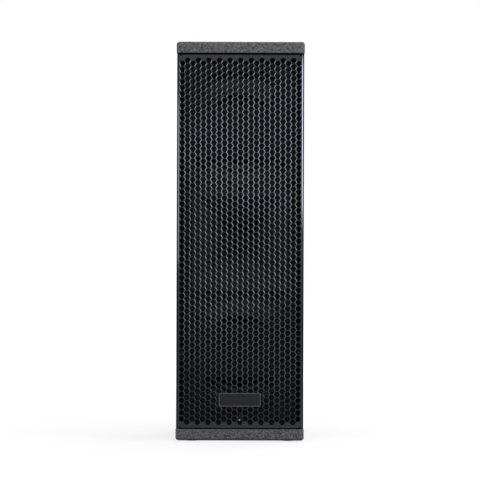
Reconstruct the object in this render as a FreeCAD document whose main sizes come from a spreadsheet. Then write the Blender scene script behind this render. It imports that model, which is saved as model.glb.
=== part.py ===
"""Compact two-way column loudspeaker: wooden cabinet, perforated steel grille, two woofers,
a square horn with its compression driver, and a rear amplifier.

Frame: +Z up, the front faces -Y, the origin is under the middle of the cabinet on the surface
that it stands on. Sizes are in millimetres.
"""
import FreeCAD, Part
import math
import os
import re
import Sketcher

# ---------------------------------------------------------------- driving dimensions
SIZES = {
    # cabinet
    "cabinet_width": 161,
    "cabinet_height": 500,
    "cabinet_depth": 206,
    "plate_thickness": 14,
    "plate_overhang": 0.5,
    "plate_corner_radius": 5,
    "plate_outer_round": 3.4,
    "plate_inner_round": 0.9,
    "wall_thickness": 9,
    "straight_depth": 100,
    "rear_width": 112,
    "front_baffle_thickness": 12,
    "rear_baffle_thickness": 9,
    "rear_baffle_inset": 10,
    # feet, pole socket and rigging points
    "foot_stand": 1,
    "foot_recess": 2,
    "foot_radius": 8,
    "foot_inset_front": 18,
    "foot_inset_rear": 20,
    "foot_front_spread": 120,
    "foot_rear_spread": 80,
    "pole_bore_radius": 18,
    "pole_wall": 2.5,
    "pole_depth": 70,
    "pole_offset": 15,
    "pole_flange_radius": 32,
    "pole_flange_thickness": 3,
    "pole_screw_circle": 52,
    "insert_spacing": 96,
    "insert_radius": 5.5,
    "insert_length": 12,
    "insert_thread_radius": 3.4,
    # grille and badge
    "grille_recess": 1,
    "grille_side_gap": 2.4,
    "grille_depth": 12,
    "grille_gap_top": 2.2,
    "grille_gap_bottom": 1.4,
    "sheet_thickness": 1.2,
    "hole_pitch": 7.68,
    "hole_width": 6.35,
    "lattice_rise": 0.8,
    "tab_width": 6,
    "tab_height": 20,
    "badge_width": 52.5,
    "badge_height": 17,
    "badge_thickness": 1,
    "badge_rim": 1,
    "badge_face_depth": 0.4,
    "badge_rise": 33.3,
    "led_radius": 2.2,
    "led_flange_radius": 4,
    "led_flange_thickness": 1.5,
    "led_length": 7,
    "led_rise": 10.3,
    # loading panels in front of the woofers
    "front_space": 16,
    "panel_recess": 2,
    "panel_thickness": 3,
    "panel_side_gap": 0.3,
    "panel_horn_gap": 3.5,
    "inner_window_side": 15,
    "inner_window_reach": 35,
    "outer_window_side": 27.5,
    "outer_window_height": 42,
    "outer_window_margin": 19.3,
    "window_chamfer": 9,
    "panel_notch": 2.2,
    "panel_notch_height": 10,
    "fixing_height": 142,
    "panel_screw_side": 10,
    "panel_screw_inset": 7,
    "panel_screw_margin": 4.3,
    "panel_boss_radius": 3.5,
    # horn
    "horn_side_gap": 10.5,
    "horn_height": 125,
    "horn_rim": 5,
    "horn_flange": 4,
    "horn_skirt": 3,
    "horn_wall": 2.5,
    "horn_depth": 60,
    "horn_lug_width": 20,
    "horn_lug_height": 11,
    "horn_opening_gap": 6,
    "throat_radius": 12.5,
    "throat_plate_radius": 30,
    "throat_plate_thickness": 8,
    # compression driver
    "tweeter_radius": 38,
    "tweeter_plate": 8,
    "tweeter_magnet_length": 11,
    "tweeter_magnet_bore": 26,
    "tweeter_top_plate": 5,
    "tweeter_pole_radius": 21,
    "tweeter_coil_wall": 0.6,
    "tweeter_coil_clear": 0.5,
    "tweeter_dome_height": 7,
    "tweeter_dome_wall": 0.4,
    "tweeter_rim_width": 5,
    "tweeter_seat_clear": 0.7,
    "tweeter_cover_radius": 36,
    "tweeter_cover_length": 14,
    "tweeter_cover_wall": 2,
    # woofers
    "woofer_horn_gap": 0.5,
    "woofer_side_gap": 5,
    "basket_flange": 3,
    "basket_rim_width": 9.5,
    "basket_wall": 2,
    "basket_depth": 36,
    "basket_base_radius": 38,
    "basket_base": 2.5,
    "basket_window_width": 50,
    "basket_window_front": 6,
    "basket_window_rear": 24,
    "baffle_hole_gap": 0.7,
    "surround_seat": 5,
    "surround_thickness": 0.8,
    "roll_width": 8.7,
    "roll_height": 4,
    "surround_margin": 4,
    "cone_rim": 3.5,
    "cone_depth": 20.8,
    "cone_wall": 1,
    "cap_radius": 20,
    "cap_height": 9,
    "cap_wall": 0.8,
    "cap_clear": 0.4,
    "former_radius": 16,
    "former_wall": 0.4,
    "former_length": 31,
    "coil_wall": 1.3,
    "coil_length": 12,
    "glue_gap": 0.1,
    "magnetic_gap": 0.6,
    "spider_wall": 0.8,
    "spider_wave": 1.2,
    "spider_gap": 0.3,
    "spider_lift": 7.5,
    "top_plate_radius": 40,
    "top_plate_thickness": 5,
    "magnet_radius": 42,
    "magnet_bore": 23,
    "magnet_length": 12,
    "yoke_radius": 40,
    "yoke_thickness": 5,
    "woofer_screw_inset": 4.5,
    # amplifier
    "amp_panel_width": 90,
    "amp_panel_height": 380,
    "amp_panel_thickness": 3,
    "amp_overlap": 8,
    "housing_depth": 42,
    "housing_wall": 1.5,
    "housing_gap": 0.3,
    "amp_screw_edge": 3.6,
    "sink_width": 74,
    "sink_height": 200,
    "sink_rise": 75,
    "sink_base": 2,
    "sink_fin": 1.6,
    "sink_fin_height": 5,
    "sink_fins": 13,
    "board_width": 66,
    "board_height": 190,
    "board_thickness": 1.6,
    "board_rise": 75,
    "standoff_length": 6,
    "standoff_radius": 3,
    "standoff_edge": 6,
    "transformer_width": 36,
    "transformer_height": 34,
    "transformer_depth": 26,
    "transformer_rise": 110,
    "capacitor_radius": 11,
    "capacitor_length": 30,
    "capacitor_pitch": 28,
    "capacitor_rise": 40,
    # rear controls and sockets
    "control_spread": 42,
    "knob_sink_gap": 17,
    "knob_radius": 8,
    "knob_length": 6,
    "knob_clear": 0.4,
    "knob_chamfer": 1,
    "knob_pointer": 1.2,
    "spindle_radius": 3,
    "spindle_gap": 0.05,
    "spindle_engagement": 4,
    "pot_radius": 7,
    "pot_depth": 9,
    "signal_knob_gap": 56,
    "power_signal_gap": 48,
    "socket_width": 26,
    "socket_height": 31,
    "socket_flange": 2,
    "socket_body_radius": 11.8,
    "socket_body_length": 18,
    "socket_hole_gap": 0.2,
    "signal_bore_radius": 9.6,
    "signal_bore_depth": 14,
    "signal_core_radius": 7.6,
    "contact_radius": 1.2,
    "contact_circle": 8.6,
    "contact_hole_gap": 0.2,
    "contact_length": 11,
    "power_bore_radius": 10.4,
    "power_bore_depth": 13,
    "power_core_radius": 4,
    "power_core_length": 9,
    "latch_width": 8,
    "latch_height": 3.2,
    "latch_stand": 2.6,
    "latch_reach": 4,
    "latch_gap": 0.35,
    "latch_offset": 13,
    # screws
    "wood_screw_radius": 2,
    "wood_screw_head": 3.8,
    "wood_screw_head_height": 2.4,
    "wood_screw_length": 16,
    "wood_screw_hole_gap": 0.2,
    "small_screw_radius": 1.5,
    "small_screw_head": 2.8,
    "small_screw_head_height": 1.6,
    "small_screw_length": 9,
    "small_screw_hole_gap": 0.2,
    "long_screw_radius": 1.6,
    "long_screw_head": 3,
    "long_screw_head_height": 2,
    "long_screw_length": 24,
    "long_screw_hole_gap": 0.2,
}

# places and sizes that follow from the driving dimensions
PLACES = {
    "front_edge": "-cabinet_depth / 2",
    "rear_edge": "cabinet_depth / 2",
    "inside_low": "foot_stand + plate_thickness",
    "inside_high": "foot_stand + cabinet_height - plate_thickness",
    "mid_height": "foot_stand + cabinet_height / 2",
    "wall_outer": "cabinet_width / 2 - plate_overhang",
    "wall_inner": "wall_outer - wall_thickness",
    "rear_outer": "rear_width / 2",
    "body_rear": "rear_edge - plate_overhang",
    "bend": "front_edge + straight_depth",
    "slope": "(wall_outer - rear_outer) / (body_rear - bend)",
    "slant": "sqrt(1 + slope * slope)",
    "taper_wall": "wall_thickness * slant",
    "mitre_drop": "wall_thickness * (slant - 1) / slope",
    "grille_front": "front_edge + grille_recess",
    "grille_width": "cabinet_width - 2 * grille_side_gap",
    "grille_low": "inside_low + grille_gap_bottom",
    "grille_high": "inside_high - grille_gap_top",
    "grille_inner": "grille_width / 2 - sheet_thickness",
    "wall_front": "grille_front + grille_depth",
    "baffle_front": "wall_front + front_space",
    "baffle_rear": "baffle_front + front_baffle_thickness",
    "fixing_x": "grille_inner - tab_width / 2",
    "panel_front": "wall_front - panel_recess",
    "panel_back": "panel_front + panel_thickness",
    "panel_side": "wall_inner - panel_side_gap",
    "panel_start": "horn_height / 2 + horn_lug_height + panel_horn_gap",
    "panel_end": "cabinet_height / 2 - plate_thickness - max(grille_gap_top; grille_gap_bottom)"
                 " - sheet_thickness - panel_side_gap",
    "panel_screw_x": "wall_inner - panel_screw_side",
    "panel_screw_near": "panel_start + panel_screw_inset",
    "panel_screw_far": "panel_end - panel_screw_margin",
    "inner_window_width": "2 * (wall_inner - inner_window_side)",
    "inner_window_end": "woofer_offset - inner_window_reach",
    "outer_window_width": "2 * (wall_inner - outer_window_side)",
    "outer_window_end": "panel_end - outer_window_margin",
    "outer_window_start": "outer_window_end - outer_window_height",
    "badge_drop": "panel_end - badge_rise",
    "led_drop": "panel_end - led_rise",
    "horn_width": "2 * (wall_inner - horn_side_gap)",
    "horn_face": "wall_front",
    "throat_front": "horn_face + horn_depth",
    "throat_rear": "throat_front + throat_plate_thickness",
    "mouth_x": "horn_width / 2 - horn_rim",
    "mouth_z": "horn_height / 2 - horn_rim",
    "tweeter_magnet_front": "throat_rear + tweeter_plate",
    "tweeter_top_front": "tweeter_magnet_front + tweeter_magnet_length",
    "tweeter_top_rear": "tweeter_top_front + tweeter_top_plate",
    "tweeter_coil_inner": "tweeter_pole_radius + tweeter_coil_clear",
    "tweeter_coil_outer": "tweeter_coil_inner + tweeter_coil_wall",
    "tweeter_dome_base": "tweeter_top_rear + tweeter_seat_clear",
    "tweeter_rim_outer": "tweeter_coil_outer + tweeter_rim_width",
    "basket_radius": "wall_inner - woofer_side_gap",
    "basket_throat": "basket_radius - basket_rim_width",
    "woofer_offset": "horn_height / 2 + horn_lug_height + woofer_horn_gap + basket_radius",
    "woofer_screw_radius": "basket_radius - woofer_screw_inset",
    "cone_radius": "basket_throat - surround_margin - surround_thickness - roll_width",
    "flange_front": "baffle_front - basket_flange",
    "cone_front": "flange_front - surround_thickness",
    "surround_inner": "cone_radius - cone_rim",
    "roll_outer": "cone_radius + surround_thickness + roll_width",
    "basket_base_rear": "baffle_front + basket_depth",
    "basket_base_front": "basket_base_rear - basket_base",
    "basket_slope": "(basket_throat - basket_base_radius) / (basket_base_front - baffle_front)",
    "former_front": "cone_front + cone_depth",
    "cone_slope": "cone_depth / (surround_inner - former_radius - glue_gap)",
    "magnet_front": "basket_base_rear + top_plate_thickness",
    "yoke_front": "magnet_front + magnet_length",
    "pole_radius": "former_radius - former_wall - magnetic_gap",
    "gap_radius": "former_radius + coil_wall + magnetic_gap",
    "spider_rear": "basket_base_front - spider_lift + spider_wave / 2",
    "spider_outer": "basket_throat - basket_wall - basket_slope * (spider_rear - baffle_front)"
                    " - spider_gap",
    "cap_base": "former_front - cone_slope * (cap_radius - former_radius - glue_gap) - cap_clear",
    "amp_face": "body_rear - rear_baffle_inset",
    "amp_outer": "amp_face + amp_panel_thickness",
    "cutout_x": "amp_panel_width / 2 - amp_overlap",
    "cutout_z": "amp_panel_height / 2 - amp_overlap",
    "housing_x": "cutout_x - housing_gap",
    "housing_z": "cutout_z - housing_gap",
    "housing_front": "amp_face - housing_depth",
    "board_rear": "amp_face - standoff_length",
    "board_front": "board_rear - board_thickness",
    "board_mid": "mid_height + board_rise",
    "amp_screw_x": "amp_panel_width / 2 - amp_screw_edge",
    "amp_screw_z": "amp_panel_height / 2 - amp_screw_edge",
    "control_x": "control_spread / 2",
    "knob_row": "sink_height / 2 - sink_rise + knob_sink_gap",
    "signal_row": "knob_row + signal_knob_gap",
    "power_row": "signal_row + power_signal_gap",
    "knob_z": "mid_height - knob_row",
    "signal_z": "mid_height - signal_row",
    "power_z": "mid_height - power_row",
    "socket_face": "amp_outer + socket_flange",
    "knob_rear": "amp_outer + knob_clear + knob_length",
    "latch_z": "signal_z + latch_offset",
}

doc = FreeCAD.newDocument("ColumnSpeaker")
parts = []


def fill_sheet(name, cells):
    """Make a sheet with one named cell in each row."""
    sheet = doc.addObject("Spreadsheet::Sheet", name)
    for row, (alias, content) in enumerate(cells.items(), start=1):
        sheet.set(f"A{row}", alias)
        sheet.set(f"B{row}", content)
        sheet.setAlias(f"B{row}", alias)
    return sheet


def formula(text):
    """Turn a sum written with size names into an expression on the two sheets."""
    def full_name(match):
        name = match.group()
        if name in SIZES:
            return "Sizes." + name
        return "Places." + name if name in PLACES else name
    return re.sub(r"[a-z][a-z_]*", full_name, str(text))


sizes = fill_sheet("Sizes", {alias: str(number) for alias, number in SIZES.items()})
places = fill_sheet("Places", {alias: "=" + formula(text).replace("Places.", "")
                               for alias, text in PLACES.items()})
doc.recompute()


def value(text):
    """Work a sum out as a plain number."""
    return float(places.evalExpression(formula(text)))


def bind(item, **sums):
    """Bind properties of an object to sums of sizes."""
    for name, text in sums.items():
        item.setExpression(name, formula(text))
    return item


def seat(item, x="0", y="0", z="0"):
    """Bind where an object stands."""
    for axis, text in zip("xyz", (x, y, z)):
        item.setExpression(f"Placement.Base.{axis}", formula(text))
    return item


def node(item, label):
    """Name a finished sub-part and list it for writing."""
    item.Label = label
    parts.append(item)
    return item


# ---------------------------------------------------------------- sketches and bodies
def arc_between(start, end, radius):
    """Short arc from start to end: anticlockwise, or clockwise when the radius is negative."""
    first, last = (start, end) if radius > 0 else (end, start)
    chord = last - first
    normal = FreeCAD.Vector(-chord.y, chord.x, 0).normalize()
    half = chord.Length / 2
    centre = (first + last) * 0.5 + normal * math.sqrt(max(radius * radius - half * half, 0))
    turns = [math.atan2(point.y - centre.y, point.x - centre.x) for point in (first, last)]
    if turns[1] < turns[0]:
        turns[1] += 2 * math.pi
    circle = Part.Circle(centre, FreeCAD.Vector(0, 0, 1), abs(radius))
    return Part.ArcOfCircle(circle, *turns)


def draw_outline(sketch, outline):
    """Draw a closed outline. A point's third entry is the radius of the arc that leads to it."""
    corners = [FreeCAD.Vector(value(point[0]), value(point[1]), 0) for point in outline]
    ends = []
    for index, point in enumerate(outline):
        start, end = corners[index - 1], corners[index]
        if len(point) == 3:
            radius = value(point[2])
            edge = sketch.addGeometry(arc_between(start, end, radius), False)
            ends.append((edge, 1, 2) if radius > 0 else (edge, 2, 1))
        else:
            edge = sketch.addGeometry(Part.LineSegment(start, end), False)
            ends.append((edge, 1, 2))
    for index, point in enumerate(outline):
        edge, _, last = ends[index]
        following, first, _ = ends[(index + 1) % len(ends)]
        sketch.addConstraint(Sketcher.Constraint("Coincident", edge, last, following, first))
        for kind, text, start in (("DistanceX", point[0], corners[index].x),
                                  ("DistanceY", point[1], corners[index].y)):
            limit = sketch.addConstraint(Sketcher.Constraint(kind, -1, 1, edge, last, start))
            sketch.setExpression(f"Constraints[{limit}]", formula(text))
        if len(point) == 3:
            radius = abs(value(point[2]))
            limit = sketch.addConstraint(Sketcher.Constraint("Radius", edge, radius))
            sketch.setExpression(f"Constraints[{limit}]", formula(f"abs({point[2]})"))


def draw_circle(sketch, x, y, radius):
    """Draw a circle whose centre and radius are bound to sums of sizes."""
    centre = FreeCAD.Vector(value(x), value(y), 0)
    normal = FreeCAD.Vector(0, 0, 1)
    edge = sketch.addGeometry(Part.Circle(centre, normal, value(radius)), False)
    for kind, text, start in (("DistanceX", x, centre.x), ("DistanceY", y, centre.y)):
        limit = sketch.addConstraint(Sketcher.Constraint(kind, -1, 1, edge, 3, start))
        sketch.setExpression(f"Constraints[{limit}]", formula(text))
    limit = sketch.addConstraint(Sketcher.Constraint("Radius", edge, value(radius)))
    sketch.setExpression(f"Constraints[{limit}]", formula(radius))


def sketch_on(body, plane, outlines=(), circles=(), offset="0"):
    """Make a sketch on one of the body's own planes, moved along the plane's normal."""
    sketch = body.newObject("Sketcher::SketchObject", body.Name + "_sketch")
    support = next(item for item in body.Origin.OriginFeatures if item.Role == plane)
    sketch.AttachmentSupport = (support, "")
    sketch.MapMode = "FlatFace"
    sketch.setExpression("AttachmentOffset.Base.z", formula(offset))
    for outline in outlines:
        draw_outline(sketch, outline)
    for circle in circles:
        draw_circle(sketch, *circle)
    return sketch


def new_body(name):
    """Make an empty body."""
    return doc.addObject("PartDesign::Body", name)


def pad_up(body, low, height, outlines, circles=()):
    """Raise outlines in X and Y from the height low."""
    pad = body.newObject("PartDesign::Pad", body.Name + "_pad")
    pad.Profile = sketch_on(body, "XY_Plane", outlines, circles, low)
    return bind(pad, Length=height)


def pad_forward(body, rear, length, outlines, circles=()):
    """Raise outlines in X and Z forwards from the plane y = rear."""
    pad = body.newObject("PartDesign::Pad", body.Name + "_pad")
    pad.Profile = sketch_on(body, "XZ_Plane", outlines, circles, f"-({rear})")
    return bind(pad, Length=length)


def turned(name, outline):
    """Turn an outline of (radius, y) points about the Y axis."""
    body = new_body(name)
    turn = body.newObject("PartDesign::Revolution", name + "_turn")
    turn.Profile = sketch_on(body, "XY_Plane", [outline])
    turn.ReferenceAxis = (turn.Profile[0], ["V_Axis"])
    turn.Angle = 360
    return body


def soften(body, base, radius, test):
    """Round the edges of a feature that pass a test."""
    doc.recompute()
    names = [f"Edge{index}" for index, edge in enumerate(base.Shape.Edges, start=1) if test(edge)]
    fillet = body.newObject("PartDesign::Fillet", body.Name + "_round")
    fillet.Base = (base, names)
    return bind(fillet, Radius=radius)


def rectangle(x_low, x_high, y_low, y_high):
    """Four corners of a rectangle as sums of sizes."""
    return [(x_low, y_low), (x_high, y_low), (x_high, y_high), (x_low, y_high)]


def centred(width, height, x="0", y="0"):
    """A rectangle about a middle point."""
    return rectangle(f"{x} - {width} / 2", f"{x} + {width} / 2",
                     f"{y} - {height} / 2", f"{y} + {height} / 2")


# ---------------------------------------------------------------- plain solids and booleans
def block(name, x_low, x_high, y_low, y_high, z_low, z_high):
    """A box between six bounds."""
    box = doc.addObject("Part::Box", name)
    bind(box, Length=f"({x_high}) - ({x_low})", Width=f"({y_high}) - ({y_low})",
         Height=f"({z_high}) - ({z_low})")
    return seat(box, x_low, y_low, z_low)


def rod(name, radius, front, rear, x="0", z="0"):
    """A cylinder along Y from front to rear."""
    cylinder = doc.addObject("Part::Cylinder", name)
    cylinder.Placement.Rotation = FreeCAD.Rotation(FreeCAD.Vector(1, 0, 0), -90)
    bind(cylinder, Radius=radius, Height=f"({rear}) - ({front})")
    return seat(cylinder, x, front, z)


def post(name, radius, low, high, x="0", y="0"):
    """A cylinder along Z from low to high."""
    cylinder = doc.addObject("Part::Cylinder", name)
    bind(cylinder, Radius=radius, Height=f"({high}) - ({low})")
    return seat(cylinder, x, y, low)


def fused(name, items):
    """Join solids into one."""
    joint = doc.addObject("Part::MultiFuse", name)
    joint.Shapes = items
    return joint


def grouped(name, items):
    """Hold solids together without joining them."""
    group = doc.addObject("Part::Compound", name)
    group.Links = items
    return group


def cut(name, base, tools):
    """Cut one or more solids out of another."""
    result = doc.addObject("Part::Cut", name)
    result.Base = base
    result.Tool = tools[0] if len(tools) == 1 else fused(name + "_tools", tools)
    return result


def copies(name, pattern, spots, rotation=None):
    """Repeat one solid at several places."""
    links = []
    for index, spot in enumerate(spots):
        link = doc.addObject("App::Link", f"{name}_{index}")
        link.LinkedObject = pattern
        link.LinkTransform = False
        if rotation:
            link.Placement.Rotation = rotation
        links.append(seat(link, *spot))
    return grouped(name, links)


def mirrored_spots(x, y, heights):
    """Places left and right of the middle at several heights."""
    return [(f"{side} * ({x})", y, z) for z in heights for side in (-1, 1)]


def above_and_below(distance):
    """Two heights at one distance from the cabinet's middle."""
    return [f"mid_height + {distance}", f"mid_height - {distance}"]


# ---------------------------------------------------------------- cabinet
def end_plate(label, low, outer_is_high):
    """A rounded wooden end plate; its outer edges are rounder than its inner ones."""
    body = new_body(label)
    outline = [("-cabinet_width / 2", "front_edge"), ("cabinet_width / 2", "front_edge"),
               ("cabinet_width / 2", "bend"), ("rear_outer + plate_overhang", "rear_edge"),
               ("-rear_outer - plate_overhang", "rear_edge"), ("-cabinet_width / 2", "bend")]
    plate = pad_up(body, low, "plate_thickness", [outline])
    plate = soften(body, plate, "plate_corner_radius",
                   lambda edge: edge.BoundBox.ZLength > 1 and abs(edge.BoundBox.YMin) > 20)
    bottom = value(low)
    top = bottom + value("plate_thickness")
    for height, radius in ((top, "plate_outer_round" if outer_is_high else "plate_inner_round"),
                           (bottom, "plate_inner_round" if outer_is_high else "plate_outer_round")):
        plate = soften(body, plate, radius, lambda edge, level=height:
                       abs(edge.BoundBox.ZMin - level) < 0.01 and edge.BoundBox.ZLength < 0.01)
    return body


def end_plates():
    """Top and bottom plates with the holes for inserts, feet and pole socket."""
    insert_x = "insert_spacing / 2"
    top = end_plate("top_plate_blank", "inside_high", True)
    high = "foot_stand + cabinet_height"
    tools = [post(f"top_insert_hole_{side}", "insert_radius", f"{high} - insert_length", high,
                  f"{side} * {insert_x}", "pole_offset") for side in (-1, 1)]
    node(cut("top_plate", top, tools), "top_plate")

    bottom = end_plate("bottom_plate_blank", "foot_stand", False)
    tools = [post(f"bottom_insert_hole_{side}", "insert_radius", "foot_stand",
                  "foot_stand + insert_length", f"{side} * {insert_x}", "pole_offset")
             for side in (-1, 1)]
    tools += [post("pole_hole", "pole_bore_radius + pole_wall + baffle_hole_gap", "foot_stand",
                   "inside_low", "0", "pole_offset"),
              post("pole_recess", "pole_flange_radius + socket_hole_gap", "foot_stand",
                   "foot_stand + pole_flange_thickness", "0", "pole_offset")]
    tools += [post(f"foot_recess_{index}", "foot_radius + socket_hole_gap", "foot_stand",
                   "foot_stand + foot_recess", x, y)
              for index, (x, y) in enumerate(foot_spots())]
    tools += [post(f"pole_pilot_{index}", "small_screw_radius + small_screw_hole_gap", "foot_stand",
                   "inside_low", x, y) for index, (x, y) in enumerate(pole_screw_spots())]
    node(cut("bottom_plate", bottom, tools), "bottom_plate")


def foot_spots():
    """Middles of the four rubber feet."""
    return [(f"{side} * foot_{end}_spread / 2", y) for side in (-1, 1)
            for end, y in (("front", "front_edge + foot_inset_front"),
                           ("rear", "rear_edge - foot_inset_rear"))]


def pole_screw_spots():
    """Middles of the four screws round the pole socket."""
    reach = "pole_screw_circle / 2 * sqrt(0.5)"
    return [(f"{side} * {reach}", f"pole_offset + {end} * {reach}")
            for side in (-1, 1) for end in (-1, 1)]


def walls():
    """Straight side walls and the tapered walls that meet them in a mitre."""
    for name, side in (("left", -1), ("right", 1)):
        straight = [("wall_inner", "wall_front"), ("wall_outer", "wall_front"),
                    ("wall_outer", "bend"), ("wall_inner", "bend - mitre_drop")]
        tapered = [("wall_outer", "bend"), ("rear_outer", "body_rear"),
                   ("rear_outer - taper_wall", "body_rear"), ("wall_inner", "bend - mitre_drop")]
        for kind, outline in (("side_wall", straight), ("taper_wall", tapered)):
            body = new_body(f"{name}_{kind}_blank" if kind == "side_wall" else f"{name}_{kind}")
            pad_up(body, "inside_low", "inside_high - inside_low",
                   [[(f"{side} * ({x})", y) for x, y in outline]])
            label = f"{name}_{kind}"
            if kind == "taper_wall":
                node(body, label)
                continue
            spots = [spot for spot in grille_screw_spots() if value(spot[0]) * side > 0]
            holes = [rod(f"{label}_hole_{index}", "small_screw_radius + small_screw_hole_gap",
                         "wall_front", "wall_front + small_screw_length", x, z)
                     for index, (x, _, z) in enumerate(spots)]
            node(cut(label, body, holes), label)


def front_baffle():
    """Plywood board that carries the horn and both woofers."""
    body = new_body("front_baffle")
    opening = centred("2 * (mouth_x - horn_opening_gap)", "2 * (mouth_z - horn_opening_gap)",
                      "0", "mid_height")
    circles = [("0", z, "basket_throat + baffle_hole_gap") for z in above_and_below("woofer_offset")]
    circles += [(x, z, "long_screw_radius + long_screw_hole_gap") for x, _, z in panel_screw_spots()]
    circles += [(x, z, "wood_screw_radius + wood_screw_hole_gap")
                for x, _, z in woofer_screw_spots() + horn_screw_spots()]
    pad_forward(body, "baffle_rear", "front_baffle_thickness",
                [rectangle("-wall_inner", "wall_inner", "inside_low", "inside_high"), opening],
                circles)
    node(body, "front_baffle")


def rear_baffle():
    """Plywood board between the tapered walls, with the opening for the amplifier."""
    body = new_body("rear_baffle_blank")
    front = "amp_face - rear_baffle_thickness"
    wide = f"wall_outer - taper_wall - slope * ({front} - bend)"
    narrow = "wall_outer - taper_wall - slope * (amp_face - bend)"
    outline = [(f"-({wide})", front), (wide, front), (narrow, "amp_face"),
               (f"-({narrow})", "amp_face")]
    pad_up(body, "inside_low", "inside_high - inside_low", [outline])
    tools = [block("amp_opening", "-cutout_x", "cutout_x", f"{front} - 1", "amp_face + 1",
                   "mid_height - cutout_z", "mid_height + cutout_z")]
    tools += [rod(f"amp_pilot_{index}", "wood_screw_radius + wood_screw_hole_gap",
                  f"{front} - 1", "amp_face + 1", x, z)
              for index, (x, _, z) in enumerate(amp_screw_spots())]
    node(cut("rear_baffle", body, tools), "rear_baffle")


def ground_parts():
    """Rubber feet, pole socket and threaded inserts."""
    foot = post("foot", "foot_radius", "0", "foot_stand + foot_recess")
    node(copies("rubber_feet", foot, [(x, y, "0") for x, y in foot_spots()]), "rubber_feet")

    cup = fused("pole_cup", [
        post("pole_tube", "pole_bore_radius + pole_wall", "foot_stand",
             "foot_stand + pole_depth + pole_wall", "0", "pole_offset"),
        post("pole_flange", "pole_flange_radius", "foot_stand",
             "foot_stand + pole_flange_thickness", "0", "pole_offset")])
    tools = [post("pole_bore", "pole_bore_radius", "foot_stand", "foot_stand + pole_depth",
                  "0", "pole_offset")]
    tools += [post(f"pole_flange_hole_{index}", "small_screw_radius + small_screw_hole_gap",
                   "foot_stand", "foot_stand + pole_flange_thickness", x, y)
              for index, (x, y) in enumerate(pole_screw_spots())]
    tools += [post(f"pole_flange_sink_{index}", "small_screw_head + small_screw_hole_gap",
                   "foot_stand", "foot_stand + small_screw_head_height", x, y)
              for index, (x, y) in enumerate(pole_screw_spots())]
    node(cut("pole_socket", cup, tools), "pole_socket")

    sleeve = cut("insert", post("insert_sleeve", "insert_radius - glue_gap", "0", "insert_length"),
                 [post("insert_thread", "insert_thread_radius", "0", "insert_length")])
    spots = [(f"{side} * insert_spacing / 2", "pole_offset", low) for side in (-1, 1)
             for low in ("foot_stand", "foot_stand + cabinet_height - insert_length")]
    node(copies("rigging_inserts", sleeve, spots), "rigging_inserts")


# ---------------------------------------------------------------- screws
def screw(name, kind):
    """A screw along +Y whose head stands in front of y = 0."""
    return turned(name, [("0", f"-{kind}_screw_head_height"),
                         (f"{kind}_screw_head", f"-{kind}_screw_head_height"),
                         (f"{kind}_screw_head", "0"), (f"{kind}_screw_radius", "0"),
                         (f"{kind}_screw_radius", f"{kind}_screw_length"),
                         ("0", f"{kind}_screw_length")])


wood_screw = screw("wood_screw", "wood")
small_screw = screw("small_screw", "small")
long_screw = screw("long_screw", "long")
TURN_ROUND = FreeCAD.Rotation(FreeCAD.Vector(0, 0, 1), 180)
TURN_UP = FreeCAD.Rotation(FreeCAD.Vector(1, 0, 0), 90)


def grille_screw_spots():
    """Middles of the screws that hold the grille's tabs to the side walls."""
    return mirrored_spots("fixing_x", "wall_front - sheet_thickness", above_and_below("fixing_height"))


def panel_screw_spots():
    """Middles of the screws of both loading panels."""
    return mirrored_spots("panel_screw_x", "panel_front", above_and_below("panel_screw_near")
                          + above_and_below("panel_screw_far"))


def woofer_screw_spots():
    """Middles of the screws in both woofer flanges."""
    reach = "woofer_screw_radius * sqrt(0.5)"
    return [(f"{side} * {reach}", "flange_front", f"{z} + {end} * {reach}")
            for z in above_and_below("woofer_offset") for side in (-1, 1) for end in (-1, 1)]


def horn_screw_spots():
    """Middles of the screws in the horn's two lugs."""
    reach = "(horn_height / 2 + horn_lug_height / 2)"
    return [("0", "baffle_front - horn_flange", z) for z in above_and_below(reach)]


def amp_screw_spots():
    """Middles of the screws that hold the amplifier's panel."""
    return mirrored_spots("amp_screw_x", "amp_outer", above_and_below("amp_screw_z")
                          + above_and_below("amp_screw_z / 3"))


def socket_screw_spots():
    """Middles of the two screws in each rear socket's flange."""
    reach_x = "(socket_width / 2 - small_screw_head - glue_gap)"
    reach_z = "(socket_height / 2 - small_screw_head - glue_gap)"
    return [(f"{side} * control_x + {corner} * {reach_x}", "socket_face", f"{z} + {corner} * {reach_z}")
            for z in ("signal_z", "power_z") for side in (-1, 1) for corner in (-1, 1)]


def screws():
    """All screws that share a pattern, one node for each job."""
    node(copies("grille_screws", small_screw, grille_screw_spots()), "grille_screws")
    node(copies("loading_panel_screws", long_screw, panel_screw_spots()), "loading_panel_screws")
    node(copies("driver_screws", wood_screw, woofer_screw_spots() + horn_screw_spots()), "driver_screws")
    node(copies("amp_screws", wood_screw, amp_screw_spots(), TURN_ROUND), "amp_screws")
    upright = [(x, y, "foot_stand + small_screw_head_height") for x, y in pole_screw_spots()]
    node(grouped("socket_screws", [
        copies("rear_socket_screws", small_screw, socket_screw_spots(), TURN_ROUND),
        copies("pole_socket_screws", small_screw, upright, TURN_UP)]), "socket_screws")


# ---------------------------------------------------------------- grille and front trim
def hexagon(x, z):
    """Corners of one hole, with flats above and below, anticlockwise from the right."""
    reach = value("hole_width") / math.sqrt(3)
    return [(x + reach * math.cos(turn * math.pi / 3), z + reach * math.sin(turn * math.pi / 3))
            for turn in range(6)]


def closed_wire(points, y):
    """A closed wire through (x, z) points in the plane of one y."""
    corners = [FreeCAD.Vector(x, y, z) for x, z in points]
    return Part.makePolygon(corners + corners[:1])


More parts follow.
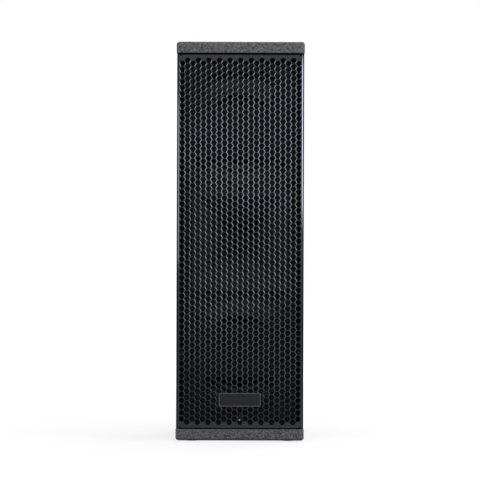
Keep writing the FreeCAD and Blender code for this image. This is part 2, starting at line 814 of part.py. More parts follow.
def hole_columns():
    """Middles of the holes by column; every second column stands half a pitch higher."""
    pitch, width = value("hole_pitch"), value("hole_width")
    column_pitch = pitch * math.sqrt(3) / 2
    middle = value("mid_height + lattice_rise")
    reach = int((value("grille_inner") - width / math.sqrt(3)) / column_pitch)
    room = min(value("grille_high") - middle, middle - value("grille_low"))
    rows = int(2 * (room - width / 2 - value("sheet_thickness")) / pitch) + 1
    columns = []
    for column in range(-reach, reach + 1):
        count = rows - (column + reach + 1) % 2
        columns.append([(column * column_pitch, middle + (row - (count - 1) / 2) * pitch)
                        for row in range(count)])
    return columns


def split_line(level, columns, half, upper):
    """Points from left to right along a level that runs through the middles of holes.

    The line follows the upper or the lower half of each hole that it meets.
    """
    points = [(-half, level)]
    for x, _ in columns:
        corners = hexagon(x, level)
        points += [corners[index % 6] for index in ((3, 2, 1, 0) if upper else (3, 4, 5, 6))]
    return points + [(half, level)]


def grille_sheet():
    """Front sheet with its staggered holes, built from faces that meet along rows of holes."""
    columns = hole_columns()
    front, half = value("grille_front"), value("grille_width / 2")
    back = front + value("sheet_thickness")
    low, high = value("grille_low"), value("grille_high")
    even = [column[0] for column in columns[::2]]
    rows_per_face = 3
    levels = [low] + [z for _, z in columns[0][rows_per_face - 1::rows_per_face]] + [high]
    margin = value("hole_pitch") / 4
    faces = []
    for bottom, top in zip(levels, levels[1:]):
        outline = [(-half, low), (half, low)] if bottom == low else split_line(bottom, even, half, True)
        ceiling = [(-half, high), (half, high)] if top == high else split_line(top, even, half, False)
        outline += reversed(ceiling)
        holes = [hexagon(x, z)[::-1] for column in columns for x, z in column
                 if bottom + margin < z < top - margin]
        faces += [Part.Face([closed_wire(points, y) for points in [outline] + holes])
                  for y in (front, back)]
        faces += [wall_face((side * half, bottom), (side * half, top), front, back) for side in (-1, 1)]
    faces += [wall_face((-half, z), (half, z), front, back) for z in (low, high)]
    for x, z in (hole for column in columns for hole in column):
        corners = hexagon(x, z)
        faces += [wall_face(corners[turn - 1], corners[turn], front, back) for turn in range(6)]
    skin = Part.Compound(faces)
    skin.sewShape(value("sheet_thickness") / 1e5)
    sheet = doc.addObject("Part::Feature", "grille")
    sheet.Shape = Part.makeSolid(skin.Shells[0])
    node(sheet, "grille")


def wall_face(start, end, front, back):
    """Flat face that joins two points of the front plane to the back plane."""
    corners = [FreeCAD.Vector(x, y, z) for (x, z), y in
               ((start, front), (end, front), (end, back), (start, back))]
    return Part.Face(Part.makePolygon(corners + corners[:1]))


def grille_frame():
    """Folded frame welded behind the sheet, with four tabs that take the grille's screws."""
    front, edge = "grille_front + sheet_thickness", "grille_width / 2"
    ring_frame = cut("grille_ring", block("grille_ring_outer", f"-{edge}", edge, front, "wall_front",
                                          "grille_low", "grille_high"),
                     [block("grille_ring_inner", "-grille_inner", "grille_inner", front, "wall_front",
                            "grille_low + sheet_thickness", "grille_high - sheet_thickness")])
    tabs = []
    for index, z in enumerate(above_and_below("fixing_height")):
        low, high = f"{z} - tab_height / 2", f"{z} + tab_height / 2"
        back = "wall_front - sheet_thickness"
        tabs += [block(f"tab_left_{index}", "-grille_inner", "tab_width - grille_inner", back,
                       "wall_front", low, high),
                 block(f"tab_right_{index}", "grille_inner - tab_width", "grille_inner", back,
                       "wall_front", low, high)]
    holes = [rod(f"grille_tab_hole_{index}", "small_screw_radius + small_screw_hole_gap",
                 "wall_front - sheet_thickness", "wall_front", x, z)
             for index, (x, _, z) in enumerate(grille_screw_spots())]
    node(cut("grille_frame", fused("grille_frame_blank", [ring_frame] + tabs), holes), "grille_frame")


def badge():
    """Plain badge with a raised rim, on the lower part of the grille."""
    body = new_body("badge")
    drop = "mid_height - badge_drop"
    plate = pad_forward(body, "grille_front", "badge_thickness",
                        [centred("badge_width", "badge_height", "0", drop)])
    plate = soften(body, plate, "badge_thickness", lambda edge: edge.BoundBox.YLength > 0.5)
    face = body.newObject("PartDesign::Pocket", "badge_face")
    face.Profile = sketch_on(body, "XZ_Plane", [centred("(badge_width - 2 * badge_rim)",
                                                        "(badge_height - 2 * badge_rim)", "0", drop)],
                             (), "-(grille_front - badge_thickness)")
    bind(face, Length="badge_face_depth")
    node(body, "badge")


def status_led():
    """Light pipe on the lower loading panel, seen through the grille."""
    base = "panel_front"
    body = turned("status_led", [("0", f"{base} - led_length"), ("led_radius", f"{base} - led_length"),
                                 ("led_radius", f"{base} - led_flange_thickness"),
                                 ("led_flange_radius", f"{base} - led_flange_thickness"),
                                 ("led_flange_radius", base), ("0", base)])
    node(seat(body, z="mid_height - led_drop"), "status_led")


def loading_panels():
    """Moulded panels that cover the middle of each woofer and leave two windows open."""
    for name, way in (("upper", 1), ("lower", -1)):
        def level(text):
            return f"mid_height + {way} * ({text})"
        window, side = "inner_window_width / 2", "panel_side"
        notch_low, notch_high = (f"fixing_height {sign} panel_notch_height / 2" for sign in "-+")
        right = [(window, "inner_window_end"), (window, "panel_start"), (side, "panel_start"),
                 (side, notch_low), (f"{side} - panel_notch", notch_low),
                 (f"{side} - panel_notch", notch_high), (side, notch_high), (side, "panel_end")]
        left = [(f"-({x})", z) for x, z in reversed(right)]
        plate = [(x, level(z)) for x, z in right + left]
        opening, corner = "outer_window_width / 2", "window_chamfer"
        far = [(f"-({opening})", "outer_window_start"), (opening, "outer_window_start"),
               (opening, f"outer_window_end - {corner}"), (f"{opening} - {corner}", "outer_window_end"),
               (f"{corner} - {opening}", "outer_window_end"),
               (f"-({opening})", f"outer_window_end - {corner}")]
        bosses = [(x, level(z)) for x in ("panel_screw_x", "-panel_screw_x")
                  for z in ("panel_screw_near", "panel_screw_far")]
        hole = "long_screw_radius + long_screw_hole_gap"
        body = new_body(f"{name}_loading_panel")
        pad_forward(body, "panel_back", "panel_thickness", [plate, [(x, level(z)) for x, z in far]],
                    [(x, z, hole) for x, z in bosses])
        rails = [rectangle(*ends, level("panel_start"), level("panel_end"))
                 for ends in ((f"{side} - panel_thickness", side),
                              (f"-{side}", f"panel_thickness - {side}"))]
        pad_forward(body, "baffle_front", "baffle_front - panel_back", rails,
                    [(x, z, radius) for x, z in bosses for radius in ("panel_boss_radius", hole)])
        node(body, f"{name}_loading_panel")


# ---------------------------------------------------------------- horn and compression driver
def flare(name, wall):
    """Square flare that widens by a constant ratio from the throat to the mouth."""
    steps = 4
    sections = []
    for step in range(steps + 1):
        share = step / steps
        half_x, half_z = (f"throat_radius * ({mouth} / throat_radius) ^ {share} + {wall}"
                          for mouth in ("mouth_x", "mouth_z"))
        sketch = doc.addObject("Sketcher::SketchObject", f"{name}_{step}")
        sketch.Placement.Rotation = FreeCAD.Rotation(FreeCAD.Vector(1, 0, 0), 90)
        draw_outline(sketch, rectangle(f"-({half_x})", half_x, f"-({half_z})", half_z))
        sections.append(seat(sketch, "0", f"throat_front - {share} * horn_depth", "mid_height"))
    loft = doc.addObject("Part::Loft", name)
    loft.Sections = sections
    loft.Solid = True
    loft.Ruled = True
    return loft


def horn():
    """Square horn with its flange, the skirt that stands on the baffle, and two lugs."""
    wide, tall = "horn_width / 2", "horn_height / 2"
    skirt = cut("horn_skirt", block("horn_skirt_outer", f"-{wide}", wide, "horn_face", "baffle_front",
                                    f"mid_height - {tall}", f"mid_height + {tall}"),
                [block("horn_skirt_inner", f"horn_skirt - {wide}", f"{wide} - horn_skirt",
                       "horn_face + horn_flange", "baffle_front",
                       f"mid_height - {tall} + horn_skirt", f"mid_height + {tall} - horn_skirt")])
    lugs = block("horn_lugs", "-horn_lug_width / 2", "horn_lug_width / 2",
                 "baffle_front - horn_flange", "baffle_front",
                 f"mid_height - {tall} - horn_lug_height", f"mid_height + {tall} + horn_lug_height")
    clearance = block("horn_lug_gap", "-horn_lug_width / 2", "horn_lug_width / 2",
                      "baffle_front - horn_flange", "baffle_front",
                      f"mid_height - {tall} + horn_skirt", f"mid_height + {tall} - horn_skirt")
    lugs = cut("horn_lug_pair", lugs, [clearance])
    neck = rod("horn_neck", "throat_plate_radius", "throat_front", "throat_rear", "0", "mid_height")
    body = fused("horn_blank", [skirt, lugs, flare("horn_outside", "horn_wall"), neck])
    tools = [flare("horn_inside", "0"),
             rod("horn_throat", "throat_radius", "throat_front", "throat_rear", "0", "mid_height")]
    tools += [rod(f"horn_lug_hole_{index}", "wood_screw_radius + wood_screw_hole_gap",
                  "baffle_front - horn_flange", "baffle_front", x, z)
              for index, (x, _, z) in enumerate(horn_screw_spots())]
    node(cut("horn", body, tools), "horn")


def ring(name, inner, outer, front, rear):
    """A flat ring turned about the Y axis."""
    return turned(name, rectangle(inner, outer, front, rear))


def cap_radius(half, height):
    """Radius of the ball that a shallow cap is cut from."""
    return f"(({half}) * ({half}) + ({height}) * ({height})) / (2 * ({height}))"


def tweeter():
    """Compression driver behind the horn, with its moving dome."""
    pole = turned("tweeter_pole", [
        ("throat_radius", "throat_rear"), ("tweeter_radius", "throat_rear"),
        ("tweeter_radius", "tweeter_magnet_front"), ("tweeter_pole_radius", "tweeter_magnet_front"),
        ("tweeter_pole_radius", "tweeter_top_rear"), ("throat_radius", "tweeter_top_rear")])
    magnet = ring("tweeter_magnet", "tweeter_magnet_bore", "tweeter_radius",
                  "tweeter_magnet_front", "tweeter_top_front")
    top = ring("tweeter_top_plate", "tweeter_coil_outer + tweeter_coil_clear", "tweeter_radius",
               "tweeter_top_front", "tweeter_top_rear")
    base = "tweeter_dome_base"
    dome = turned("tweeter_diaphragm", [
        ("tweeter_coil_inner", "tweeter_top_front + tweeter_seat_clear"),
        ("tweeter_coil_outer", "tweeter_top_front + tweeter_seat_clear"),
        ("tweeter_coil_outer", base), ("tweeter_rim_outer", base),
        ("tweeter_rim_outer", f"{base} + tweeter_dome_wall"),
        ("tweeter_coil_outer", f"{base} + tweeter_dome_wall"),
        ("0", f"{base} + tweeter_dome_wall + tweeter_dome_height",
         cap_radius("tweeter_coil_outer", "tweeter_dome_height")),
        ("0", f"{base} + tweeter_dome_height"),
        ("tweeter_coil_inner", base, "-" + cap_radius("tweeter_coil_inner", "tweeter_dome_height"))])
    rear = "tweeter_top_rear + tweeter_cover_length"
    wall, cover = "tweeter_cover_wall", "tweeter_cover_radius"
    lid = turned("tweeter_rear_cover", [
        ("0", rear), ("0", f"{rear} - {wall}"), (f"{cover} - {wall}", f"{rear} - {wall}"),
        (f"{cover} - {wall}", "tweeter_top_rear"), (cover, "tweeter_top_rear"), (cover, rear)])
    for item in (pole, magnet, top, dome, lid):
        node(seat(item, z="mid_height"), item.Name)


# ---------------------------------------------------------------- woofers
def basket(name, height):
    """Pressed basket with four windows and four screw holes."""
    blank = turned(f"{name}_basket_blank", [
        ("roll_outer", "flange_front"), ("basket_radius", "flange_front"),
        ("basket_radius", "baffle_front"), ("basket_throat", "baffle_front"),
        ("basket_base_radius", "basket_base_rear"), ("gap_radius", "basket_base_rear"),
        ("gap_radius", "basket_base_front"),
        ("basket_base_radius - basket_wall", "basket_base_front"),
        ("basket_throat - basket_wall", "baffle_front"), ("roll_outer", "baffle_front")])
    seat(blank, z=height)
    half, reach = "basket_window_width / 2", "basket_radius"
    tools = [block(f"{name}_window_{index}", f"-{x}", x, "baffle_front + basket_window_front",
                   "baffle_front + basket_window_rear", f"{height} - {z}", f"{height} + {z}")
             for index, (x, z) in enumerate(((half, reach), (reach, half)))]
    tools += [rod(f"{name}_hole_{index}", "wood_screw_radius + wood_screw_hole_gap",
                  "flange_front", "baffle_front", x, z)
              for index, (x, _, z) in enumerate(woofer_screw_spots()) if height in z]
    node(cut(f"{name}_basket", blank, tools), f"{name}_basket")


def spider(name):
    """Corrugated disc that centres the voice coil."""
    waves = 8
    middle = "basket_base_front - spider_lift"
    radii = [f"former_radius + spider_gap + {step / waves}"
             " * (spider_outer - former_radius - spider_gap)" for step in range(waves + 1)]
    levels = [f"{middle} {'-+'[step % 2]} spider_wave / 2" for step in range(waves + 1)]
    front = [(radius, f"{level} - spider_wall") for radius, level in zip(radii, levels)]
    return turned(f"{name}_spider", front + list(reversed(list(zip(radii, levels)))))


def woofer(name, height):
    """One woofer: basket, motor, and the cone assembly that moves."""
    basket(name, height)
    inner, outer, thick = "surround_inner", "roll_outer", "surround_thickness"
    top = ring(f"{name}_top_plate", "gap_radius", "top_plate_radius", "basket_base_rear", "magnet_front")
    magnet = ring(f"{name}_magnet", "magnet_bore", "magnet_radius", "magnet_front", "yoke_front")
    yoke = turned(f"{name}_yoke", [
        ("0", "basket_base_rear"), ("pole_radius", "basket_base_rear"), ("pole_radius", "yoke_front"),
        ("yoke_radius", "yoke_front"), ("yoke_radius", "yoke_front + yoke_thickness"),
        ("0", "yoke_front + yoke_thickness")])
    cone = turned(f"{name}_cone", [
        ("former_radius + glue_gap", "former_front"), (inner, "cone_front"),
        ("cone_radius", "cone_front"), ("cone_radius", "cone_front + cone_wall"),
        (inner, "cone_front + cone_wall"), ("former_radius + glue_gap", "former_front + cone_wall")])
    base = "cap_base"
    cap = turned(f"{name}_dust_cap", [
        ("0", f"{base} - cap_height"),
        ("cap_radius", base, cap_radius("cap_radius", "cap_height")),
        ("cap_radius - cap_wall", base),
        ("0", f"{base} - cap_height + cap_wall",
         "-" + cap_radius("cap_radius - cap_wall", "cap_height - cap_wall"))])
    former, coil = "former_radius - former_wall", "former_radius + coil_wall"
    coil_front = "basket_base_rear + top_plate_thickness / 2 - coil_length / 2"
    voice_coil = turned(f"{name}_voice_coil", [
        (former, "former_front"), ("former_radius", "former_front"), ("former_radius", coil_front),
        (coil, coil_front), (coil, f"{coil_front} + coil_length"),
        ("former_radius", f"{coil_front} + coil_length"),
        ("former_radius", "former_front + former_length"), (former, "former_front + former_length")])
    surround = turned(f"{name}_surround", [
        (inner, "cone_front"), (f"cone_radius + {thick}", "cone_front"),
        (outer, "cone_front", cap_radius("roll_width / 2", "roll_height")),
        (outer, "flange_front"), (f"{outer} + surround_seat", "flange_front"),
        (f"{outer} + surround_seat", f"cone_front - {thick}"),
        (f"{outer} + {thick} / 2", f"cone_front - {thick}"),
        (f"cone_radius + {thick} / 2", f"cone_front - {thick}",
         "-" + cap_radius(f"(roll_width + {thick}) / 2", "roll_height")),
        (inner, f"cone_front - {thick}")])
    for item in (top, magnet, yoke, cone, cap, voice_coil, surround, spider(name)):
        node(seat(item, z=height), item.Name)


# ---------------------------------------------------------------- amplifier
def standoff_spots():
    """Middles of the standoffs that carry the amplifier's board."""
    return [(f"{side} * (board_width / 2 - standoff_edge)",
             f"board_mid + {end} * (board_height / 2 - standoff_edge)")
            for side in (-1, 1) for end in (-1, 1)]


def socket_spots():
    """Names and middles of the rear sockets."""
    return {"signal_input": ("-control_x", "signal_z"), "signal_link": ("control_x", "signal_z"),
            "power_inlet": ("-control_x", "power_z"), "power_link": ("control_x", "power_z")}


def knob_spots():
    """Names and middles of the rear knobs."""
    return {"level": ("-control_x", "knob_z"), "preset": ("control_x", "knob_z")}


def latch_block(name, gap, front, rear):
    """The latch of the signal input, or its slot when there is a gap."""
    return block(name, f"-control_x - latch_width / 2 - {gap}", f"-control_x + latch_width / 2 + {gap}",
                 front, rear, f"latch_z - latch_height / 2 - {gap}",
                 f"latch_z + latch_height / 2 + {gap}")


def amp_panel():
    """Rear plate with standoffs for the board and holes for sockets, knobs and screws."""
    plate = block("amp_plate", "-amp_panel_width / 2", "amp_panel_width / 2", "amp_face", "amp_outer",
                  "mid_height - amp_panel_height / 2", "mid_height + amp_panel_height / 2")
    standoffs = [rod(f"standoff_{index}", "standoff_radius", "board_rear", "amp_face", x, z)
                 for index, (x, z) in enumerate(standoff_spots())]
    holes = [("socket_body_radius + socket_hole_gap", spot) for spot in socket_spots().values()]
    holes += [("spindle_radius + spindle_gap", spot) for spot in knob_spots().values()]
    holes += [("wood_screw_radius + wood_screw_hole_gap", (x, z)) for x, _, z in amp_screw_spots()]
    holes += [("small_screw_radius + small_screw_hole_gap", (x, z)) for x, _, z in socket_screw_spots()]
    tools = [rod(f"amp_hole_{index}", radius, "amp_face", "amp_outer", *spot)
             for index, (radius, spot) in enumerate(holes)]
    tools.append(latch_block("amp_latch_slot", "latch_gap", "amp_face", "amp_outer"))
    node(cut("amp_panel", fused("amp_plate_blank", [plate] + standoffs), tools), "amp_panel")


def heat_sink():
    """Finned aluminium block on the upper part of the panel."""
    base = "amp_outer + sink_base"
    tip = f"{base} + sink_fin_height"
    fins = int(SIZES["sink_fins"])
    outline = [("-sink_width / 2", "amp_outer"), ("sink_width / 2", "amp_outer")]
    for fin in reversed(range(fins)):
        low = f"-sink_width / 2 + {fin} * (sink_width - sink_fin) / {fins - 1}"
        high = f"{low} + sink_fin"
        outline += [(high, base)] if fin < fins - 1 else []
        outline += [(high, tip), (low, tip)]
        outline += [(low, base)] if fin > 0 else []
    body = new_body("heat_sink")
    pad_up(body, "mid_height + sink_rise - sink_height / 2", "sink_height", [outline])
    node(body, "heat_sink")


def amp_electronics():
    """Sealed housing, circuit board, transformer and capacitors."""
    outer = block("housing_outer", "-housing_x", "housing_x", "housing_front", "amp_face",
                  "mid_height - housing_z", "mid_height + housing_z")
    inner = block("housing_inner", "housing_wall - housing_x", "housing_x - housing_wall",
                  "housing_front + housing_wall", "amp_face",
                  "mid_height - housing_z + housing_wall", "mid_height + housing_z - housing_wall")
    node(cut("amp_housing", outer, [inner]), "amp_housing")
    node(block("amp_board", "-board_width / 2", "board_width / 2", "board_front", "board_rear",
               "board_mid - board_height / 2", "board_mid + board_height / 2"), "amp_board")
    spot = "mid_height + transformer_rise"
    node(block("transformer", "-transformer_width / 2", "transformer_width / 2",
               "board_front - transformer_depth", "board_front",
               f"{spot} - transformer_height / 2", f"{spot} + transformer_height / 2"), "transformer")
    can = rod("capacitor", "capacitor_radius", "0", "capacitor_length")
    cans = [(f"{side} * capacitor_pitch / 2", "board_front - capacitor_length",
             f"mid_height + capacitor_rise + {end} * capacitor_pitch / 2")
            for side in (-1, 1) for end in (-1, 1)]
    node(copies("capacitors", can, cans, can.Placement.Rotation), "capacitors")


def contact_spots(x, z):
    """Middles of three contacts round a socket's middle."""
    side = "contact_circle / 2 * sqrt(3) / 2"
    return [(f"{x} - {side}", f"{z} + contact_circle / 4"),
            (f"{x} + {side}", f"{z} + contact_circle / 4"), (x, f"{z} - contact_circle / 2")]


def sockets():
    """Signal and power sockets with square flanges."""
    for name, (x, z) in socket_spots().items():
        flange = block(f"{name}_flange", f"{x} - socket_width / 2", f"{x} + socket_width / 2",
                       "amp_outer", "socket_face", f"{z} - socket_height / 2", f"{z} + socket_height / 2")
        barrel = rod(f"{name}_barrel", "socket_body_radius", "amp_outer - socket_body_length",
                     "socket_face", x, z)
        kind = name.split("_")[0]
        bore = rod(f"{name}_bore", f"{kind}_bore_radius", f"socket_face - {kind}_bore_depth",
                   "socket_face", x, z)
        tools = [bore]
        inserts = []
        if name == "signal_input":
            core = rod(f"{name}_core", "signal_core_radius", "socket_face - signal_bore_depth",
                       "socket_face", x, z)
            tools = [cut(f"{name}_slot", bore, [core])]
            tools += [rod(f"{name}_contact_{index}", "contact_radius + contact_hole_gap",
                          "socket_face - contact_length", "socket_face", *spot)
                      for index, spot in enumerate(contact_spots(x, z))]
            tools.append(latch_block(f"{name}_latch_slot", "latch_gap",
                                     "amp_outer - socket_body_length", "socket_face"))
        elif name == "signal_link":
            inserts = [rod(f"{name}_pin_{index}", "contact_radius", "socket_face - signal_bore_depth",
                           "socket_face - signal_bore_depth + contact_length", *spot)
                       for index, spot in enumerate(contact_spots(x, z))]
        else:
            inserts = [rod(f"{name}_core", "power_core_radius", "socket_face - power_bore_depth",
                           "socket_face - power_bore_depth + power_core_length", x, z)]
        tools += [rod(f"{name}_screw_hole_{index}", "small_screw_radius + small_screw_hole_gap",
                      "amp_outer", "socket_face", spot[0], spot[2])
                  for index, spot in enumerate(socket_screw_spots())
                  if abs(value(spot[0]) - value(x)) < value("socket_width / 2")
                  and abs(value(spot[2]) - value(z)) < value("socket_height / 2")]
        body = cut(f"{name}_body", fused(f"{name}_blank", [flange, barrel]), tools)
        node(fused(name, [body] + inserts) if inserts else body, name)
    node(latch_block("signal_latch", "0", "amp_outer - latch_reach", "socket_face + latch_stand"),
         "signal_latch")


def controls():
    """Level and preset knobs with moulded spindles, and the parts that they turn in."""
    pots = []
    for name, (x, z) in knob_spots().items():
        case = block(f"{name}_pot_case", f"{x} - pot_radius", f"{x} + pot_radius",
                     "amp_face - pot_depth", "amp_face", f"{z} - pot_radius", f"{z} + pot_radius")
        bore = rod(f"{name}_pot_bore", "spindle_radius + spindle_gap",
                   "amp_face - spindle_engagement - knob_clear", "amp_face", x, z)
        pots.append(cut(f"{name}_pot", case, [bore]))
        front = "amp_outer + knob_clear"
        cap = turned(f"{name}_knob_blank", [
            ("0", "amp_face - spindle_engagement"), ("spindle_radius", "amp_face - spindle_engagement"),
            ("spindle_radius", front), ("knob_radius", front),
            ("knob_radius", "knob_rear - knob_chamfer"), ("knob_radius - knob_chamfer", "knob_rear"),
            ("0", "knob_rear")])
        seat(cap, x, "0", z)
        pointer = block(f"{name}_pointer", f"{x} - knob_pointer / 2", f"{x} + knob_pointer / 2",
                        "knob_rear - knob_pointer", "knob_rear", z, f"{z} + knob_radius")
        node(cut(f"{name}_knob", cap, [pointer]), f"{name}_knob")
    node(grouped("control_pots", pots), "control_pots")


# ---------------------------------------------------------------- build, check and write
def check_and_write():
    """Check every object, then write one file for each sub-part."""
    doc.recompute()
    for item in doc.Objects:
        if "Invalid" in item.State or "Error" in item.State:
            raise RuntimeError(f"{item.Label}: {item.State}")
    for item in parts:
        if item.Shape.isNull() or not item.Shape.isValid():
            raise RuntimeError(f"{item.Label} has no valid shape")
    os.makedirs("parts", exist_ok=True)
    for item in parts:
        item.Shape.exportStep(f"parts/{item.Label}.step")


end_plates()
walls()
front_baffle()
rear_baffle()
ground_parts()
grille_sheet()
grille_frame()
badge()
status_led()
loading_panels()
horn()
tweeter()
for woofer_name, woofer_height in zip(("upper", "lower"), above_and_below("woofer_offset")):
    woofer(woofer_name, woofer_height)
amp_panel()
heat_sink()
amp_electronics()
sockets()
controls()
screws()
check_and_write()
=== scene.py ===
"""Looks of a compact two-way column loudspeaker, dressed round its packed construction model.

Every length is in metres, in the model's own frame: +Z is up, the front faces -Y, and the origin
lies under the middle of the cabinet on the surface that it stands on.
"""

import functools
import logging
import math
from collections import defaultdict
from collections.abc import Sequence
from dataclasses import dataclass
from enum import Enum

import bmesh
import bpy
import numpy as np
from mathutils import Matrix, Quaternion, Vector


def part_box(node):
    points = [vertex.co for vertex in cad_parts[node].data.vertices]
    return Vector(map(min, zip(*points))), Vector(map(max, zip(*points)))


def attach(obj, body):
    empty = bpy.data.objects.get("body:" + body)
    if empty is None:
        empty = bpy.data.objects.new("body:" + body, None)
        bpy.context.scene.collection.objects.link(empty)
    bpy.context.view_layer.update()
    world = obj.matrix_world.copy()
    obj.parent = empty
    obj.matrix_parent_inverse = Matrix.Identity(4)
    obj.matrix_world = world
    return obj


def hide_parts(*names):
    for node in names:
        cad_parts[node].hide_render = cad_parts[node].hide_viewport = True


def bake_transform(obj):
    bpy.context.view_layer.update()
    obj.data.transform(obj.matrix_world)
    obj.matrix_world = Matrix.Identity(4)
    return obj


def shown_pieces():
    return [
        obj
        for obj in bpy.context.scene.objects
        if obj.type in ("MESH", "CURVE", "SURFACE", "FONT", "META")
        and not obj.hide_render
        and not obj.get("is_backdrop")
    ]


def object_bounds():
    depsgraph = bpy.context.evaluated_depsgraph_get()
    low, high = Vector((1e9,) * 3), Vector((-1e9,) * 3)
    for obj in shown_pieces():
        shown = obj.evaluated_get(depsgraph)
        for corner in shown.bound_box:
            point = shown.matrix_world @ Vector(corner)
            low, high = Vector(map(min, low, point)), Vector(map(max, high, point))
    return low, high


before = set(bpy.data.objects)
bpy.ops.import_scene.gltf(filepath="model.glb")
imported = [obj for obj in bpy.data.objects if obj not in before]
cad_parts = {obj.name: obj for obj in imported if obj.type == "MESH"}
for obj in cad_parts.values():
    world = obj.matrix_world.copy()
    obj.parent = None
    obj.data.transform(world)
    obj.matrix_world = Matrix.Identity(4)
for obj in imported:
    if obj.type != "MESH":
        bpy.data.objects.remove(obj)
CAD_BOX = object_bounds()
LOG = logging.getLogger("column_speaker")
MM = 0.001
MICRON = 1e-6
HAIR = 1e-9
WAVE_PERIOD = 0.314
CABINET = "cabinet"

Colour = tuple[float, float, float]
Flat = tuple[float, float]
Point = Sequence[float]
Mesh = bpy.types.Mesh
Socket = bpy.types.NodeSocket


# ---------------------------------------------------------------------------- small helpers
def shade(red: float, green: float, blue: float) -> Colour:
    """Turn display levels from 0 to 255 into a linear colour."""
    levels = [value / 255 for value in (red, green, blue)]
    return tuple(v / 12.92 if v <= 0.04045 else ((v + 0.055) / 1.055) ** 2.4 for v in levels)


def node_middle(node: str) -> Vector:
    """Give the middle of a construction node's box."""
    low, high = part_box(node)
    return (low + high) / 2


def node_solids(node: str) -> list[tuple[Vector, Vector]]:
    """Find the boxes of the separate solids that a construction node holds.

    Args:
        node: The node's name.

    Returns:
        The lowest and highest corner of each solid, from the lowest solid up.
    """
    copy = bmesh.new()
    copy.from_mesh(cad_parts[node].data)
    bmesh.ops.remove_doubles(copy, verts=copy.verts, dist=100 * HAIR)
    waiting, boxes = set(copy.verts), []
    while waiting:
        edge = [waiting.pop()]
        found = list(edge)
        while edge:
            near = {other for vert in edge for link in vert.link_edges for other in link.verts}
            edge = list(near & waiting)
            waiting -= near
            found += edge
        places = np.array([vert.co for vert in found])
        boxes.append((Vector(places.min(0)), Vector(places.max(0))))
    copy.free()
    return sorted(boxes, key=lambda box: (round(box[0].z, 4), round(box[0].x, 4)))


# ------------------------------------------------------------------------------ node sheets
class TreeSheet:
    """A node tree under construction."""

    def __init__(self, tree: bpy.types.NodeTree) -> None:
        """Keep the tree that the nodes go on."""
        self.tree = tree

    def add(self, kind: str, inputs: dict | None = None, **settings: object) -> bpy.types.Node:
        """Add a node.

        Args:
            kind: Blender's name for the node type.
            inputs: Values or sockets for its inputs, by name or number.
            **settings: Properties of the node itself.

        Returns:
            The new node.
        """
        node = self.tree.nodes.new(kind)
        for name, value in settings.items():
            setattr(node, name, value)
        for key, value in (inputs or {}).items():
            self.feed(node.inputs[key], value)
        return node

    def feed(self, socket: Socket, value: object) -> None:
        """Link a socket to another, or set its value."""
        if isinstance(value, Socket):
            self.tree.links.new(value, socket)
        else:
            socket.default_value = value

    def sum(self, operation: str, first: object, second: object = 0.0) -> Socket:
        """Work out a sum such as ADD or MULTIPLY."""
        return self.add("ShaderNodeMath", {0: first, 1: second}, operation=operation).outputs[0]

    def level(self, value: object, low: float, high: float, start: object = 0.0,
              end: object = 1.0) -> Socket:
        """Stretch levels between low and high to a new range."""
        inputs = {0: value, 1: low, 2: high, 3: start, 4: end}
        return self.add("ShaderNodeMapRange", inputs).outputs[0]

    def parts(self, vector: Socket) -> list[Socket]:
        """Split a vector into its three numbers."""
        return list(self.add("ShaderNodeSeparateXYZ", {0: vector}).outputs)


